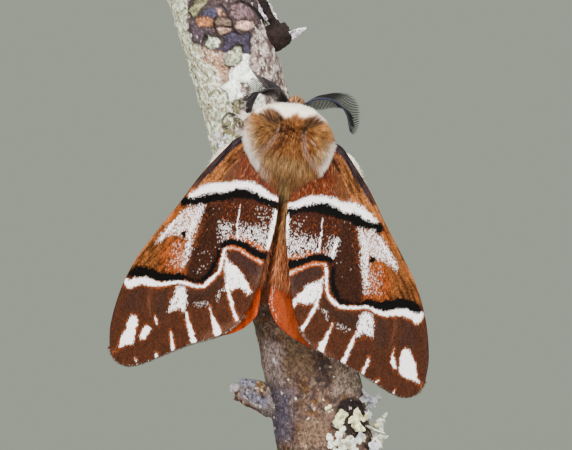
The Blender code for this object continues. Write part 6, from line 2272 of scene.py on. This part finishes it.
LIGHTS: tuple[tuple[str, Point, float, float, Colour], ...] = (
    ("key", (-0.16, -0.42, 0.42), 0.22, 6.2, (1.0, 0.985, 0.96)),
    ("fill", (0.36, -0.36, 0.12), 0.3, 3.0, (0.96, 0.98, 1.0)),
    ("front", (-0.12, -0.48, 0.04), 0.3, 2.6, (1.0, 0.99, 0.98)),
    ("top", (0.05, 0.1, 0.5), 0.3, 2.4, (1.0, 1.0, 1.0)),
    ("back", (-0.2, 0.45, 0.25), 0.3, 1.2, (1.0, 1.0, 1.0)),
)


@dataclass
class Studio:
    """The pale floor, the soft lights and the camera."""

    backdrop: Colour = srgb(162, 168, 153)
    camera_place: Point = (0.0017, -0.3085, 0.0345)
    view_width: float = 57.2
    view_distance: float = 300.0
    sensor_width: float = 36.0
    floor_radius: float = 0.145
    aim: Point = (0.0, -0.005, 0.035)

    def floor(self, effects: Effects) -> None:
        """Makes the floor."""
        bm = bmesh.new()
        bmesh.ops.create_circle(bm, cap_ends=True, segments=128, radius=self.floor_radius)
        bmesh.ops.translate(bm, vec=(0, 0, -0.00002), verts=bm.verts)
        mesh = mesh_from(bm, "floor")
        mesh.materials.append(PaperFinish().material(effects))
        link("floor", mesh)

    def light(self, name: str, place: Point, size: float, power: float, colour: Colour) -> None:
        """Adds one soft light that faces the moth."""
        lamp = bpy.data.lights.new(name, "AREA")
        lamp.shape = "DISK"
        lamp.size = size
        lamp.energy = power
        lamp.color = colour
        made = link(name, lamp)
        made.location = place
        made.rotation_euler = (Vector(self.aim) - Vector(place)).to_track_quat("-Z", "Y").to_euler()

    def build(self, effects: Effects) -> None:
        """Sets up the studio."""
        self.floor(effects)
        world = bpy.data.worlds.new("studio")
        bpy.context.scene.world = world
        world.use_nodes = True
        sky = world.node_tree.nodes["Background"]
        sky.inputs[0].default_value = opaque(self.backdrop)
        sky.inputs[1].default_value = 1.0
        for light in LIGHTS:
            self.light(*light)
        lens = bpy.data.cameras.new("camera")
        lens.sensor_width = self.sensor_width
        lens.lens = self.sensor_width * self.view_distance / self.view_width
        lens.clip_start = 0.01
        made = link("camera", lens)
        made.location = self.camera_place
        made.rotation_euler = (math.pi / 2, 0, 0)
        bpy.context.scene.camera = made


def bark_tree(node: bpy.types.Object) -> BVHTree:
    """The branch's solid, ready to be measured against."""
    mesh = node.data
    return BVHTree.FromPolygons([v.co for v in mesh.vertices], [p.vertices for p in mesh.polygons])


def build_wings(effects: Effects) -> None:
    """Makes the four wings."""
    fore, hind = WingFinish("forewing_scales"), WingFinish("hindwing_scales", marks=0.9)
    fore_under = WingFinish("forewing_underside", white=srgb(220, 190, 160), black=srgb(60, 32, 20),
                            orange=srgb(196, 96, 44), marks=0.6)
    hind_under = WingFinish("hindwing_underside", white=srgb(235, 210, 180), black=srgb(80, 42, 24),
                            orange=srgb(206, 112, 56), marks=0.8)
    hair = CoatFinish("wing_hair")
    for side in Side:
        plan = WingSheet(Curve(FORE_COSTA), Curve(FORE_TERMEN), Curve(FORE_INNER), side, camber=0.55,
                         drop=0.0, veins=FORE_VEINS)
        ForeWing(side, plan, f"forewing_{side.label}", "forewing_scales", cells=(210, 130), finish=fore,
                 under=fore_under, hair=hair).build(effects)
        plan = WingSheet(Curve(HIND_COSTA), Curve(HIND_TERMEN + HIND_TAIL[side]), Curve(HIND_INNER[side]),
                         side, camber=0.3, drop=-1.15, veins=HIND_VEINS)
        HindWing(side, plan, f"hindwing_{side.label}", "hindwing_scales", cells=(120, 84), finish=hind,
                 under=hind_under, hair=hair).build(effects)


def main() -> None:
    """Builds every piece in order."""
    logging.basicConfig(level=logging.INFO, format="%(message)s")
    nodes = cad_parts
    effects = Effects()
    Studio().build(effects)
    paint_box = BodyPaint()
    bark = bark_tree(nodes["perch_branch"])
    Perch(bark).build(effects)
    Stand(nodes["stand_base"], nodes["stand_rod"]).dress(effects)
    BodySkin(paint_box).build(effects)
    for coat in body_coats(paint_box):
        coat.build(effects)
    for side in Side:
        Eye(side).build(effects)
        Antenna(side).build(effects)
    for name in LEGS:
        Leg(name, bark).build(effects)
    build_wings(effects)


if __name__ == "__main__":
    main()
